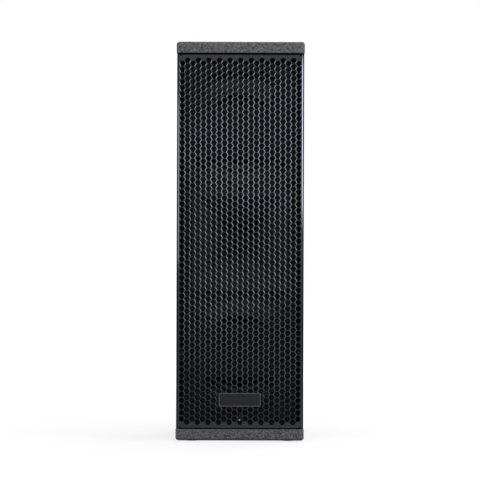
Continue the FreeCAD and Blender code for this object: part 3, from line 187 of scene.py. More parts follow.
class MaterialSheet(TreeSheet):
    """One material's nodes, with its Principled shader at hand."""

    def __init__(self, title: str) -> None:
        """Make the material.

        Args:
            title: The material's name.
        """
        self.material = bpy.data.materials.new(title)
        self.material.use_nodes = True
        super().__init__(self.material.node_tree)
        self.surface = self.tree.nodes["Principled BSDF"]
        self.place = self.add("ShaderNodeTexCoord").outputs["Object"]

    def set(self, name: str, value: object) -> None:
        """Set or link one input of the Principled shader."""
        self.feed(self.surface.inputs[name], value)

    def stretched(self, scale: Point, turn: Point = (0, 0, 0)) -> Socket:
        """Scale and turn the object's own coordinates for a pattern."""
        inputs = {"Vector": self.place, "Scale": scale, "Rotation": turn}
        return self.add("ShaderNodeMapping", inputs).outputs[0]

    def noise(self, size: float, detail: float = 2, rough: float = 0.5,
              place: Socket | None = None) -> Socket:
        """Make a cloudy pattern.

        Args:
            size: Width of its clouds.
            detail: Number of finer layers.
            rough: Strength of the finer layers.
            place: Coordinates, or None for the object's own.

        Returns:
            Levels about 0.5.
        """
        inputs = {"Vector": place or self.place, "Scale": 1 / size, "Detail": detail,
                  "Roughness": rough}
        return self.add("ShaderNodeTexNoise", inputs).outputs[0]

    def cells(self, size: float, feature: str = "F1") -> Socket:
        """Make a pattern of rounded cells, dark in their middles."""
        inputs = {"Vector": self.place, "Scale": 1 / size}
        return self.add("ShaderNodeTexVoronoi", inputs, feature=feature).outputs[0]

    def bands(self, width: float, axis: str, ripple: float = 0.0) -> Socket:
        """Make rounded bands side by side along an axis."""
        inputs = {"Vector": self.place, "Scale": WAVE_PERIOD / width, "Distortion": ripple}
        return self.add("ShaderNodeTexWave", inputs, bands_direction=axis).outputs[1]

    def tints(self, value: Socket, *stops: tuple[float, Colour]) -> Socket:
        """Turn levels into colours by way of stops."""
        ramp = self.add("ShaderNodeValToRGB", {0: value})
        spots = ramp.color_ramp.elements
        while len(spots) < len(stops):
            spots.new(0.5)
        for spot, (position, colour) in zip(spots, stops):
            spot.position = position
            spot.color = (*colour, 1)
        return ramp.outputs[0]

    def mixed(self, share: object, first: object, second: object) -> Socket:
        """Mix two colours."""
        node = self.add("ShaderNodeMix", data_type="RGBA")
        self.feed(node.inputs[0], share)
        for socket, value in ((node.inputs[6], first), (node.inputs[7], second)):
            self.feed(socket, (*value, 1) if isinstance(value, tuple) else value)
        return node.outputs[2]

    def relief(self, height: Socket, depth: float) -> None:
        """Raise the surface by levels times a depth, on top of earlier relief."""
        earlier = self.surface.inputs["Normal"]
        bump = self.add("ShaderNodeBump", {"Height": height, "Distance": depth, "Strength": 1.0})
        if earlier.links:
            self.feed(bump.inputs["Normal"], earlier.links[0].from_socket)
        self.set("Normal", bump.outputs[0])


class GeometrySheet(TreeSheet):
    """A geometry node tree that turns one mesh into a finished one."""

    def __init__(self, title: str) -> None:
        """Make the tree with its mesh input and output.

        Args:
            title: The tree's name.
        """
        super().__init__(bpy.data.node_groups.new(title, "GeometryNodeTree"))
        for side in ("INPUT", "OUTPUT"):
            self.tree.interface.new_socket("Geometry", in_out=side,
                                           socket_type="NodeSocketGeometry")
        self.entry = self.add("NodeGroupInput")
        self.exit = self.add("NodeGroupOutput")
        self.pattern = self.entry.outputs[0]

    def size(self, name: str, kind: str = "Float") -> Socket:
        """Add a named input of the tree."""
        self.tree.interface.new_socket(name, socket_type="NodeSocket" + kind)
        return self.entry.outputs[name]

    def vector(self, x: object = 0.0, y: object = 0.0, z: object = 0.0) -> Socket:
        """Join three numbers into a vector."""
        return self.add("ShaderNodeCombineXYZ", {0: x, 1: y, 2: z}).outputs[0]

    def points(self, count: object) -> Socket:
        """Make a number of points."""
        return self.add("GeometryNodePoints", {"Count": count}).outputs[0]

    def index(self) -> Socket:
        """Give each point's number."""
        return self.add("GeometryNodeInputIndex").outputs[0]

    def moved(self, points: Socket, place: Socket) -> Socket:
        """Put points at a place."""
        inputs = {"Geometry": points, "Position": place}
        return self.add("GeometryNodeSetPosition", inputs).outputs[0]

    def copied(self, points: Socket, pattern: Socket, turn: Socket | None = None) -> Socket:
        """Copy a pattern to each point, turned if wanted, and make it real."""
        node = self.add("GeometryNodeInstanceOnPoints", {"Points": points, "Instance": pattern})
        if turn:
            rotation = self.add("FunctionNodeEulerToRotation", {0: turn})
            self.feed(node.inputs["Rotation"], rotation.outputs[0])
        return self.add("GeometryNodeRealizeInstances", {0: node.outputs[0]}).outputs[0]

    def welded(self, geometry: Socket, distance: float) -> Socket:
        """Merge points that lie together."""
        inputs = {"Geometry": geometry, "Distance": distance}
        return self.add("GeometryNodeMergeByDistance", inputs).outputs[0]

    def finish(self, geometry: Socket, surface: "Surface") -> None:
        """Make all copies real, paint them and end the tree."""
        real = self.add("GeometryNodeRealizeInstances", {0: geometry}).outputs[0]
        inputs = {"Geometry": real, "Material": surface.material}
        painted = self.add("GeometryNodeSetMaterial", inputs)
        self.feed(self.exit.inputs[0], painted.outputs[0])

    def run(self, pattern: Mesh, **values: float) -> Mesh:
        """Run the tree once on a mesh.

        Args:
            pattern: The mesh that goes in.
            **values: The tree's inputs, with underscores for spaces.

        Returns:
            The plain mesh that comes out.
        """
        carrier = placed("carrier", pattern)
        modifier = carrier.modifiers.new("repeat", "NODES")
        modifier.node_group = self.tree
        for item in self.tree.interface.items_tree:
            key = item.name.replace(" ", "_").lower()
            if item.in_out == "INPUT" and key in values:
                modifier[item.identifier] = values[key]
        seen = carrier.evaluated_get(bpy.context.evaluated_depsgraph_get())
        mesh = bpy.data.meshes.new_from_object(seen)
        bpy.data.objects.remove(carrier)
        return mesh


# ------------------------------------------------------------------------------ mesh making
class Draft:
    """Faces given by their corner points, joined into one closed mesh at the end."""

    def __init__(self) -> None:
        """Start with nothing."""
        self.points: list[Point] = []
        self.faces: list[list[int]] = []

    def face(self, *corners: Point) -> None:
        """Add a face through corner points."""
        start = len(self.points)
        self.points += corners
        self.faces.append(list(range(start, start + len(corners))))

    def strip(self, first: Sequence[Point], second: Sequence[Point], closed: bool = False) -> None:
        """Join two rows of points with four-sided faces."""
        rows = list(zip(first, second))
        pairs = zip(rows, rows[1:] + rows[:1]) if closed else zip(rows, rows[1:])
        for (a, b), (c, d) in pairs:
            self.face(a, b, d, c)

    def lofted(self, loops: Sequence[Sequence[Point]], capped: bool = True) -> None:
        """Join closed loops of as many points, with a face over each end if capped."""
        for first, second in zip(loops, loops[1:]):
            self.strip(first, second, closed=True)
        if capped:
            self.face(*reversed(loops[0]))
            self.face(*loops[-1])

    def take(self, mesh: Mesh) -> None:
        """Add a copy of a mesh."""
        start = len(self.points)
        self.points += [tuple(vert.co) for vert in mesh.vertices]
        self.faces += [[start + corner for corner in face.vertices] for face in mesh.polygons]

    def mesh(self, name: str, sharp: float = 35, weld: float = MICRON) -> Mesh:
        """Merge the faces into a mesh whose faces point outwards.

        Args:
            name: The mesh's name.
            sharp: Angle in degrees past which an edge stays sharp.
            weld: Distance within which points merge.

        Returns:
            The finished mesh.
        """
        mesh = plain_mesh(name, self.points, self.faces)
        work = bmesh.new()
        work.from_mesh(mesh)
        bmesh.ops.remove_doubles(work, verts=work.verts, dist=weld)
        bmesh.ops.dissolve_degenerate(work, edges=work.edges, dist=weld / 10)
        bmesh.ops.recalc_face_normals(work, faces=work.faces)
        work.to_mesh(mesh)
        work.free()
        mesh.polygons.foreach_set("use_smooth", [True] * len(mesh.polygons))
        mesh.set_sharp_from_angle(angle=math.radians(sharp))
        return mesh


def round_angles(steps: int) -> list[float]:
    """Give the angles of as many steps round a circle, in radians."""
    return [2 * math.pi * step / steps for step in range(steps)]


def spaced(count: int, gap: float, middle: float = 0.0) -> list[float]:
    """Give places at equal distances, spread evenly about a middle."""
    return [middle + (place - (count - 1) / 2) * gap for place in range(count)]


def ring_points(radius: float, y: float, x: float, z: float, steps: int) -> list[Point]:
    """Points of a circle that faces along Y."""
    return [(x + radius * math.cos(angle), y, z + radius * math.sin(angle))
            for angle in round_angles(steps)]


def plate_points(width: float, height: float, corner: float, y: float, x: float,
                 z: float) -> list[Point]:
    """Points of an upright rectangle with rounded corners.

    Args:
        width: Size along X.
        height: Size along Z.
        corner: Radius of its corners.
        y: Where it stands.
        x: Its middle.
        z: Its middle.

    Returns:
        The points, anticlockwise as seen from the front.
    """
    points, steps = [], 5
    for quarter, (side, end) in enumerate(((1, 1), (-1, 1), (-1, -1), (1, -1))):
        for step in range(steps + 1):
            angle = (quarter + step / steps) * math.pi / 2
            points.append((x + side * (width / 2 - corner) + corner * math.cos(angle), y,
                           z + end * (height / 2 - corner) + corner * math.sin(angle)))
    return points


def turned(name: str, outline: Sequence[Flat], x: float, z: float, steps: int) -> Mesh:
    """Turn a closed outline of (radius, y) points about a line along Y.

    Args:
        name: The mesh's name.
        outline: The section, from one point on the axis to another.
        x: The axis.
        z: The axis.
        steps: Faces round the axis.

    Returns:
        The closed mesh.
    """
    draft = Draft()
    draft.lofted([ring_points(radius, y, x, z, steps) for radius, y in outline], capped=False)
    return draft.mesh(name)


def arc(centre: Flat, radius: float, start: float, end: float, steps: int = 6) -> list[Flat]:
    """Points of an arc in a section, with angles in degrees."""
    angles = [math.radians(start + (end - start) * step / steps) for step in range(steps + 1)]
    return [(centre[0] + radius * math.cos(angle), centre[1] + radius * math.sin(angle))
            for angle in angles]


def plain_mesh(name: str, points: Sequence[Point], faces: Sequence[Sequence[int]]) -> Mesh:
    """Make a mesh of points and faces as they are."""
    mesh = bpy.data.meshes.new(name)
    mesh.from_pydata(points, [], faces)
    return mesh


def placed(name: str, data: bpy.types.ID) -> bpy.types.Object:
    """Put an object with new data in the scene, at the origin."""
    item = bpy.data.objects.new(name, data)
    bpy.context.scene.collection.objects.link(item)
    return item


def paint(mesh: Mesh, surface: "Surface") -> None:
    """Give a mesh one finish."""
    mesh.materials.clear()
    mesh.materials.append(surface.material)


def show(name: str, mesh: Mesh, surface: "Surface", *nodes: str, body: str = CABINET,
         slot: str = "") -> None:
    """Show a mesh as a piece that rides on a body and stands for construction nodes.

    Args:
        name: The piece's name.
        mesh: Its mesh, in place.
        surface: Its finish.
        *nodes: The construction nodes that it replaces.
        body: The body that it rides on.
        slot: The record's material slot, or nothing; not used.
    """
    piece = placed(name, mesh)
    paint(mesh, surface)
    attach(piece, body)
    if nodes:
        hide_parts(*nodes)


def dress(surface: "Surface", *nodes: str) -> None:
    """Give construction nodes a finish."""
    for node in nodes:
        paint(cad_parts[node].data, surface)


# ------------------------------------------------------------------------------ finishes
@dataclass(frozen=True)
class Finish:
    """A surface finish with a base tint and roughness.

    Attributes:
        title: Name of the material.
        tint: Base colour.
        rough: Roughness.
        gloss: Specular level.
        bend: Refractive index.
        mirror: Tint of its reflections.
    """

    title: str
    tint: Colour
    rough: float
    gloss: float = 0.5
    bend: float = 1.5
    mirror: Colour = (1.0, 1.0, 1.0)

    def build(self) -> bpy.types.Material:
        """Make the material."""
        sheet = MaterialSheet(self.title)
        sheet.set("Roughness", self.rough)
        sheet.set("Specular IOR Level", self.gloss)
        sheet.set("IOR", self.bend)
        sheet.set("Specular Tint", (*self.mirror, 1))
        self.pattern(sheet)
        return sheet.material

    def pattern(self, sheet: MaterialSheet) -> None:
        """Lay this finish's own pattern on the sheet."""
        raise NotImplementedError

    def varied(self, sheet: MaterialSheet, value: Socket, low: float, high: float,
               spread: float) -> None:
        """Tint the surface lighter and darker with a pattern.

        Args:
            sheet: The material's nodes.
            value: The pattern's levels.
            low: Level at which the surface is darkest.
            high: Level at which it is lightest.
            spread: Share by which the tint falls and rises.
        """
        dark = tuple(part * (1 - spread) for part in self.tint)
        light = tuple(min(part * (1 + spread), 1) for part in self.tint)
        sheet.set("Base Color", sheet.tints(value, (low, dark), (high, light)))

    def sheen(self, sheet: MaterialSheet, value: Socket, less: float, more: float) -> None:
        """Make the surface glossier where a pattern is low and duller where it is high."""
        rough = sheet.level(value, 0.3, 0.7, self.rough - less, self.rough + more)
        sheet.set("Roughness", rough)


@dataclass(frozen=True)
class TexturedCoat(Finish):
    """Hard sprayed coat with a pebbled skin.

    Attributes:
        grain: Width of the pebbles.
        relief: Height of the pebbles.
    """

    grain: float = 1.4 * MM
    relief: float = 0.3 * MM

    def pattern(self, sheet: MaterialSheet) -> None:
        """Pebbles of two sizes, paler on their crests, over a slightly cloudy tint."""
        pebbles = sheet.noise(self.grain, 3, 0.62)
        drops = sheet.cells(self.grain * 1.5, "SMOOTH_F1")
        crest = sheet.sum("SUBTRACT", sheet.sum("MULTIPLY", pebbles, 1.25),
                          sheet.sum("MULTIPLY", drops, 0.28))
        self.varied(sheet, crest, 0.36, 0.68, 0.6)
        rough = sheet.level(crest, 0.3, 0.8, self.rough + 0.1, self.rough - 0.08)
        sheet.set("Roughness", rough)
        sheet.relief(sheet.noise(self.grain * 7, 1), self.relief * 0.7)
        sheet.relief(crest, self.relief)


@dataclass(frozen=True)
class WallCoat(TexturedCoat):
    """Textured coat on a side wall, whose front edge is painted black, with a painted highlight
    along the right wall's edge.

    Attributes:
        front: Depth at which the black paint ends.
        blend: Width of the step from the paint to the coat.
        black: Colour of the paint.
        painted_light_tint: Warm colour of the painted highlight on the right wall's black edge,
            standing in for light that falls there.
        painted_light_span: Lowest and highest place of the painted highlight on the right wall.
        painted_light_fade: Length over which the painted highlight begins and ends.
        painted_light_edge: Distance of the painted highlight from the cabinet's middle, and where
            it is full.
    """

    front: float = -88.4 * MM
    blend: float = 0.8 * MM
    black: Colour = shade(8, 8, 9)
    painted_light_tint: Colour = shade(72, 62, 58)
    painted_light_span: Flat = (150 * MM, 482 * MM)
    painted_light_fade: Flat = (30 * MM, 4 * MM)
    painted_light_edge: Flat = (77.4 * MM, 78.4 * MM)

    def pattern(self, sheet: MaterialSheet) -> None:
        """Pebbled coat behind, black paint in front, and a painted highlight along the right wall's
        outer edge.
        """
        super().pattern(sheet)
        coat = sheet.surface.inputs["Base Color"].links[0].from_socket
        x, y, z = sheet.parts(sheet.place)
        (start, end), (fade_in, fade_out) = self.painted_light_span, self.painted_light_fade
        # painted highlight: a warm, blotchy light on the right wall's black front edge, full from
        # about 150 mm up and fading out at the top, standing in for the right-hand lamps' light
        painted_light_share = sheet.level(sheet.noise(9 * MM, 3, 0.6), 0.3, 0.6, 0.55, 1)
        for share in (sheet.level(x, *self.painted_light_edge),
                      sheet.level(z, start - fade_in, start + fade_in),
                      sheet.level(z, end, end + fade_out, 1, 0)):
            painted_light_share = sheet.sum("MULTIPLY", painted_light_share, share)
        edge = sheet.mixed(painted_light_share, self.black, self.painted_light_tint)
        painted = sheet.level(y, self.front, self.front + self.blend, 1, 0)
        sheet.set("Base Color", sheet.mixed(painted, coat, edge))


@dataclass(frozen=True)
class PowderCoat(Finish):
    """Baked powder coat with faint orange peel.

    Attributes:
        peel: Width of the orange peel.
        relief: Height of the orange peel.
    """

    peel: float = 0.9 * MM
    relief: float = 0.02 * MM

    def pattern(self, sheet: MaterialSheet) -> None:
        """Orange peel, a few specks and a slightly cloudy sheen."""
        peel = sheet.noise(self.peel, 2, 0.5)
        clouds = sheet.noise(28 * MM, 2, 0.6)
        self.varied(sheet, peel, 0.3, 0.7, 0.18)
        self.sheen(sheet, clouds, 0.04, 0.05)
        sheet.relief(peel, self.relief)


@dataclass(frozen=True)
class Moulding(Finish):
    """Moulded plastic with an etched texture from its tool.

    Attributes:
        etch: Width of the etched grain.
        relief: Depth of the etched grain.
    """

    etch: float = 0.45 * MM
    relief: float = 0.025 * MM

    def pattern(self, sheet: MaterialSheet) -> None:
        """Etched grain with soft flow clouds."""
        clouds = sheet.noise(15 * MM, 3, 0.6)
        self.varied(sheet, clouds, 0.3, 0.7, 0.12)
        self.sheen(sheet, clouds, 0.05, 0.06)
        sheet.relief(sheet.cells(self.etch), self.relief)


@dataclass(frozen=True)
class Rubber(Finish):
    """Soft rubber with a dull bloom."""

    def pattern(self, sheet: MaterialSheet) -> None:
        """A dull bloom in patches, over fine pitting."""
        bloom = sheet.noise(6 * MM, 4, 0.65)
        self.varied(sheet, bloom, 0.35, 0.7, 0.3)
        sheet.relief(sheet.noise(0.5 * MM, 3, 0.7), 0.02 * MM)


@dataclass(frozen=True)
class PaperPulp(Finish):
    """Pressed paper pulp with loose fibres, coated dark."""

    def pattern(self, sheet: MaterialSheet) -> None:
        """Fibres that cross in three directions."""
        fibres = None
        for turn in (0.3, 1.4, 2.5):
            place = sheet.stretched((1, 1, 9), (0.4, turn, turn / 2))
            layer = sheet.noise(3.2 * MM, 2, 0.6, place)
            fibres = sheet.sum("MAXIMUM", fibres, layer) if fibres else layer
        self.varied(sheet, fibres, 0.45, 0.72, 0.4)
        sheet.relief(fibres, 0.05 * MM)


@dataclass(frozen=True)
class TreatedCloth(Finish):
    """Stiffened woven cloth.

    Attributes:
        thread: Width of one thread.
    """

    thread: float = 0.45 * MM

    def pattern(self, sheet: MaterialSheet) -> None:
        """Warp and weft that cross, with resin between them."""
        warp, weft = (sheet.bands(self.thread, axis, 0.4) for axis in "XZ")
        weave = sheet.sum("MAXIMUM", warp, weft)
        self.varied(sheet, weave, 0.2, 0.9, 0.3)
        sheet.relief(weave, 0.06 * MM)


@dataclass(frozen=True)
class PlatedSteel(Finish):
    """Plated or bare metal with fine rubbing marks.

    Attributes:
        run: Stretch of the marks along X, Y and Z; a large number makes them narrow that way.
    """

    run: Point = (1, 1, 14)

    def pattern(self, sheet: MaterialSheet) -> None:
        """Rubbing marks along one direction and cloudy plating."""
        marks = sheet.noise(2.5 * MM, 3, 0.7, sheet.stretched(self.run))
        clouds = sheet.noise(9 * MM, 3, 0.6)
        sheet.set("Metallic", 1.0)
        self.varied(sheet, clouds, 0.3, 0.7, 0.16)
        self.sheen(sheet, marks, 0.07, 0.1)
        sheet.relief(marks, 0.012 * MM)


@dataclass(frozen=True)
class Ceramic(Finish):
    """Ground sintered ferrite."""

    def pattern(self, sheet: MaterialSheet) -> None:
        """Fine pores and grinding clouds."""
        self.varied(sheet, sheet.noise(5 * MM, 4, 0.7), 0.3, 0.7, 0.22)
        sheet.relief(sheet.cells(0.8 * MM), 0.03 * MM)


@dataclass(frozen=True)
class StainedPly(Finish):
    """Birch plywood, stained dark, with its plies along the edges.

    Attributes:
        ply: Thickness of one ply.
    """

    ply: float = 1.5 * MM

    def pattern(self, sheet: MaterialSheet) -> None:
        """Long grain on the faces and thin lines where the plies end."""
        grain = sheet.noise(5 * MM, 5, 0.62, sheet.stretched((1, 1, 0.09)))
        plies = sheet.sum("MULTIPLY", sheet.bands(2 * self.ply, "Y"), 0.2)
        both = sheet.sum("ADD", sheet.sum("MULTIPLY", grain, 0.8), plies)
        self.varied(sheet, both, 0.3, 0.75, 0.4)
        sheet.relief(grain, 0.08 * MM)


@dataclass(frozen=True)
class CircuitBoard(Finish):
    """Glass-fibre board with solder mask over its tracks."""

    def pattern(self, sheet: MaterialSheet) -> None:
        """Straight tracks and round pads under the mask."""
        inputs = {"Vector": sheet.stretched((1, 0, 1), (math.pi / 2, 0, 0)), "Scale": 220.0,
                  "Color1": (0, 0, 0, 1), "Color2": (0.25, 0.25, 0.25, 1), "Mortar": (1, 1, 1, 1),
                  "Mortar Size": 0.09}
        tracks = sheet.add("ShaderNodeTexBrick", inputs).outputs[0]
        self.varied(sheet, tracks, 0.1, 0.9, 0.35)
        sheet.relief(tracks, 0.04 * MM)


@dataclass(frozen=True)
class Winding(Finish):
    """Varnished copper wire wound side by side.

    Attributes:
        wire: Width of one wire.
        along: Axis that the turns are stacked along.
    """

    wire: float = 0.5 * MM
    along: str = "Y"

    def pattern(self, sheet: MaterialSheet) -> None:
        """Rounded turns with darker gaps."""
        turns = sheet.bands(self.wire, self.along, 0.2)
        sheet.set("Metallic", 0.9)
        self.varied(sheet, turns, 0.1, 0.8, 0.35)
        sheet.relief(turns, 0.1 * MM)


@dataclass(frozen=True)
class Lens(Finish):
    """Smoked light pipe of a status lamp, faintly lit at one small spot.

    Attributes:
        spot: Middle of the lit spot.
        reach: Radius of the spot.
        glow: Strength of its light.
    """

    spot: Point = (-0.2 * MM, -98 * MM, 26.2 * MM)
    reach: float = 0.9 * MM
    glow: float = 0.5

    def pattern(self, sheet: MaterialSheet) -> None:
        """Smoked plastic, hazy inside, with its spot of light."""
        haze = sheet.noise(1.2 * MM, 2, 0.5)
        self.varied(sheet, haze, 0.3, 0.7, 0.1)
        place = sheet.parts(sheet.place)
        sides = [sheet.sum("SUBTRACT", place[axis], self.spot[axis]) for axis in (0, 2)]
        across, up = (sheet.sum("MULTIPLY", side, side) for side in sides)
        away = sheet.sum("SQRT", sheet.sum("ADD", across, up))
        lit = sheet.level(away, self.reach * 0.5, self.reach * 1.2, 1, 0)
        sheet.set("Emission Color", sheet.mixed(lit, (0.0, 0.0, 0.0), (0.95, 0.97, 1.0)))
        sheet.set("Emission Strength", self.glow)


class Surface(Enum):
    """Finishes of the loudspeaker's pieces."""

    COAT = TexturedCoat("cabinet_coat", shade(96, 95, 101), 0.62, 0.15)
    WALL = WallCoat("side_wall_coat", shade(96, 95, 101), 0.62, 0.15)
    GRILLE = PowderCoat("grille_coat", shade(8, 9, 13), 0.11, 1.0, 1.7, (0.78, 0.83, 1.0),
                        relief=0.006 * MM)
    TAB = PowderCoat("tab_coat", shade(24, 24, 26), 0.45, 0.2)
    BADGE = PowderCoat("badge_satin", shade(28, 28, 37), 0.3, 0.6, peel=0.5 * MM, relief=0.006 * MM)
    # painted highlight: the rim is a lighter copy of the badge's satin coat, standing in for light
    # caught along the raised rim
    RIM = PowderCoat("badge_rim", shade(84, 84, 90), 0.35, 0.6, peel=0.5 * MM, relief=0.006 * MM)
    LENS = Lens("status_lens", shade(44, 44, 48), 0.3)
    PANEL = Moulding("loading_panel_grain", shade(25, 25, 30), 0.6, 0.12)
    HORN = Moulding("horn_moulding", shade(40, 40, 45), 0.5, 0.15)
    BAFFLE = StainedPly("baffle_stain", shade(42, 41, 44), 0.7, 0.1)
    CONE = PaperPulp("cone_pulp", shade(41, 41, 45), 0.75, 0.12)
    CAP = PaperPulp("cap_pulp", shade(39, 39, 43), 0.6, 0.15)
    ROLL = Rubber("surround_rubber", shade(40, 40, 44), 0.55, 0.2)
    FOOT = Rubber("foot_rubber", shade(34, 34, 34), 0.65, 0.3)
    SPIDER = TreatedCloth("spider_cloth", shade(176, 138, 82), 0.7)
    COIL = Winding("coil_copper", shade(196, 118, 66), 0.35)
    BASKET = PowderCoat("basket_paint", shade(46, 46, 50), 0.5, 0.2)
    MOTOR = PlatedSteel("motor_plate", shade(172, 170, 160), 0.32)
    FERRITE = Ceramic("ferrite_grey", shade(62, 62, 64), 0.6)
    DOME = Moulding("dome_film", shade(60, 48, 34), 0.35, 0.3, etch=1.2 * MM, relief=0.01 * MM)
    AMP = PowderCoat("amp_plate_coat", shade(40, 40, 42), 0.5, 0.5, peel=0.7 * MM, relief=0.05 * MM)
    SINK = PlatedSteel("sink_anodised", shade(58, 58, 62), 0.42, run=(14, 14, 0.4))
    HOUSING = PlatedSteel("housing_steel", shade(150, 152, 154), 0.38)
    BOARD = CircuitBoard("board_mask", shade(28, 92, 62), 0.35)
    CORE = Winding("transformer_winding", shade(150, 86, 50), 0.45, wire=0.8 * MM, along="Z")
    SLEEVE = Moulding("capacitor_sleeve", shade(36, 40, 62), 0.3, 0.5, etch=2 * MM,
                      relief=0.01 * MM)
    POT = Moulding("control_case", shade(70, 84, 70), 0.5)
    KNOB = Moulding("knob_soft_touch", shade(42, 42, 44), 0.6)
    SIGNAL = Moulding("signal_socket", shade(40, 40, 42), 0.4)
    POWER = Moulding("power_inlet_blue", shade(44, 74, 128), 0.42)
    LINK = Moulding("power_link_grey", shade(168, 168, 166), 0.42)
    LATCH = PlatedSteel("latch_plate", shade(178, 178, 174), 0.3)
    SCREW = PlatedSteel("screw_black_zinc", shade(60, 60, 64), 0.36, run=(3, 3, 3))
    INSERT = PlatedSteel("insert_zinc", shade(176, 172, 156), 0.34, run=(1, 1, 20))
    POLE = PowderCoat("pole_socket_paint", shade(70, 70, 72), 0.45)
    PRINT = PowderCoat("panel_print", shade(206, 206, 202), 0.5)

    @functools.cached_property
    def material(self) -> bpy.types.Material:
        """The finish's material, made once."""
        return self.value.build()


# ------------------------------------------------------------------------------ fasteners
class Drive(Enum):
    """Recess in a screw's head."""

    HEX = "hexagon socket"
    CROSS = "cross"


class Facing(Enum):
    """Side that a screw's head faces, with the turn that brings it there."""

    FRONT = (0.0, 0.0, 0.0)
    REAR = (0.0, 0.0, math.pi)
    UNDER = (math.pi / 2, 0.0, 0.0)

    def seat(self, low: Vector, high: Vector, rise: float) -> Vector:
        """Find where the head meets its part.

        Args:
            low: Lowest corner of the screw's box.
            high: Highest corner of the screw's box.
            rise: Height of the head.

        Returns:
            The point on the screw's axis under its head.
        """
        place = (low + high) / 2
        if self is Facing.UNDER:
            place.z = low.z + rise
        else:
            place.y = low.y + rise if self is Facing.FRONT else high.y - rise
        return place


@dataclass(frozen=True)
class Screw:
    """A screw along +Y with a rounded head in front of y = 0.

    Attributes:
        head: Radius of its head.
        rise: Height of its head.
        length: Length under its head.
        drive: Recess in its head.
        steps: Faces round its axis.
        hexagon: Half the width of a hexagonal recess, as a share of the head's radius.
        cross: Radius of a cross between its arms and length of the arms, as such shares.
        narrow: How much the arms narrow.
    """

    head: float
    rise: float
    length: float
    drive: Drive
    steps: int = 24
    hexagon: float = 0.46
    cross: Flat = (0.2, 0.42)
    narrow: float = 1.2

    def recess(self, angle: float, scale: float) -> float:
        """Give the radius of the recess in one direction.

        Args:
            angle: Direction round the axis, in radians.
            scale: Size of the recess, 1 at its rim.

        Returns:
            The radius.
        """
        if self.drive is Drive.HEX:
            flat = math.cos(angle % (math.pi / 3) - math.pi / 6)
            return scale * self.head * self.hexagon / flat
        arm = abs(angle % (math.pi / 2) - math.pi / 4) * 4 / math.pi
        long = max(0.0, (1 + self.narrow) * arm - self.narrow)
        return scale * self.head * (self.cross[0] + self.cross[1] * long)

    def mesh(self) -> Mesh:
        """Build the screw."""
        draft, shank, loops = Draft(), self.head * 0.5, []
        for scale, y in ((0.8, -0.3 * self.rise), (1.0, -self.rise)):
            rim = [(self.recess(angle, scale), angle) for angle in round_angles(self.steps)]
            loops.append([(radius * math.cos(angle), y, radius * math.sin(angle))
                          for radius, angle in rim])
        dome = [(0.74, 1.0), (0.9, 0.84), (0.98, 0.58), (1.0, 0.3), (1.0, 0.0)]
        section = [(self.head * share, -self.rise * lift) for share, lift in dome]
        section += [(shank, 0), (shank, self.length - shank), (shank * 0.3, self.length)]
        loops += [ring_points(radius, y, 0, 0, self.steps) for radius, y in section]
        draft.lofted(loops)
        return draft.mesh("screw")


@dataclass
class Fasteners:
    """All screws, each node of the construction model made by copying one screw to its places.

    Attributes:
        seed: Start of the small differences between the heads' turns.
    """

    seed: int = 7

    def tree(self) -> GeometrySheet:
        """Make the tree that copies a screw to every point, each with its own turn."""
        sheet = GeometrySheet("screw_copies")
        screw = sheet.add("GeometryNodeObjectInfo", {"Object": sheet.size("Screw", "Object")})
        facing = sheet.add("FunctionNodeEulerToRotation", {0: sheet.size("Facing", "Vector")})
        turn = sheet.add("FunctionNodeRandomValue", {3: math.pi, "Seed": sheet.size("Seed", "Int")},
                         data_type="FLOAT")
        axis = sheet.vector(0.0, turn.outputs[1], 0.0)
        spin = sheet.add("FunctionNodeEulerToRotation", {0: axis})
        both = sheet.add("FunctionNodeRotateRotation", {0: facing.outputs[0], 1: spin.outputs[0]},
                         rotation_space="LOCAL")
        inputs = {"Points": sheet.pattern, "Instance": screw.outputs["Geometry"],
                  "Rotation": both.outputs[0]}
        copies = sheet.add("GeometryNodeInstanceOnPoints", inputs)
        sheet.finish(copies.outputs[0], Surface.SCREW)
        return sheet

    def build(self) -> None:
        """Make every set of screws."""
        tree = self.tree()
        sets = (("grille_screws", 1.6 * MM, Drive.CROSS, Facing.FRONT),
                ("loading_panel_screws", 2.0 * MM, Drive.HEX, Facing.FRONT),
                ("driver_screws", 2.4 * MM, Drive.CROSS, Facing.FRONT),
                ("amp_screws", 2.4 * MM, Drive.HEX, Facing.REAR),
                ("socket_screws", 1.6 * MM, Drive.CROSS, Facing.REAR))
        for node, rise, drive, facing in sets:
            groups = defaultdict(list)
            for low, high in node_solids(node):
                upright = high.z - low.z > high.y - low.y
                groups[Facing.UNDER if upright else facing].append((low, high))
            draft = Draft()
            for way, boxes in groups.items():
                draft.take(self.copied(tree, boxes, rise, drive, way))
            show(node.replace("screws", "screw_set"), draft.mesh(node), Surface.SCREW, node,
                 slot="black_screw")
            LOG.info("%s: %d screws", node, sum(map(len, groups.values())))

    def copied(self, tree: GeometrySheet, boxes: Sequence[tuple[Vector, Vector]], rise: float,
               drive: Drive, facing: Facing) -> Mesh:
        """Copy one screw to the places of several.

        Args:
            tree: The tree that copies.
            boxes: Box of each screw.
            rise: Height of the heads.
            drive: Recess in the heads.
            facing: Side that the heads face.

        Returns:
            The mesh of all copies.
        """
        low, high = boxes[0]
        shape = Screw((high.x - low.x) / 2, rise, max(high - low) - rise, drive)
        screw = placed("screw", shape.mesh())
        places = plain_mesh("places", [facing.seat(*box, rise) for box in boxes], [])
        copies = tree.run(places, screw=screw, facing=facing.value, seed=self.seed)
        bpy.data.objects.remove(screw)
        return copies


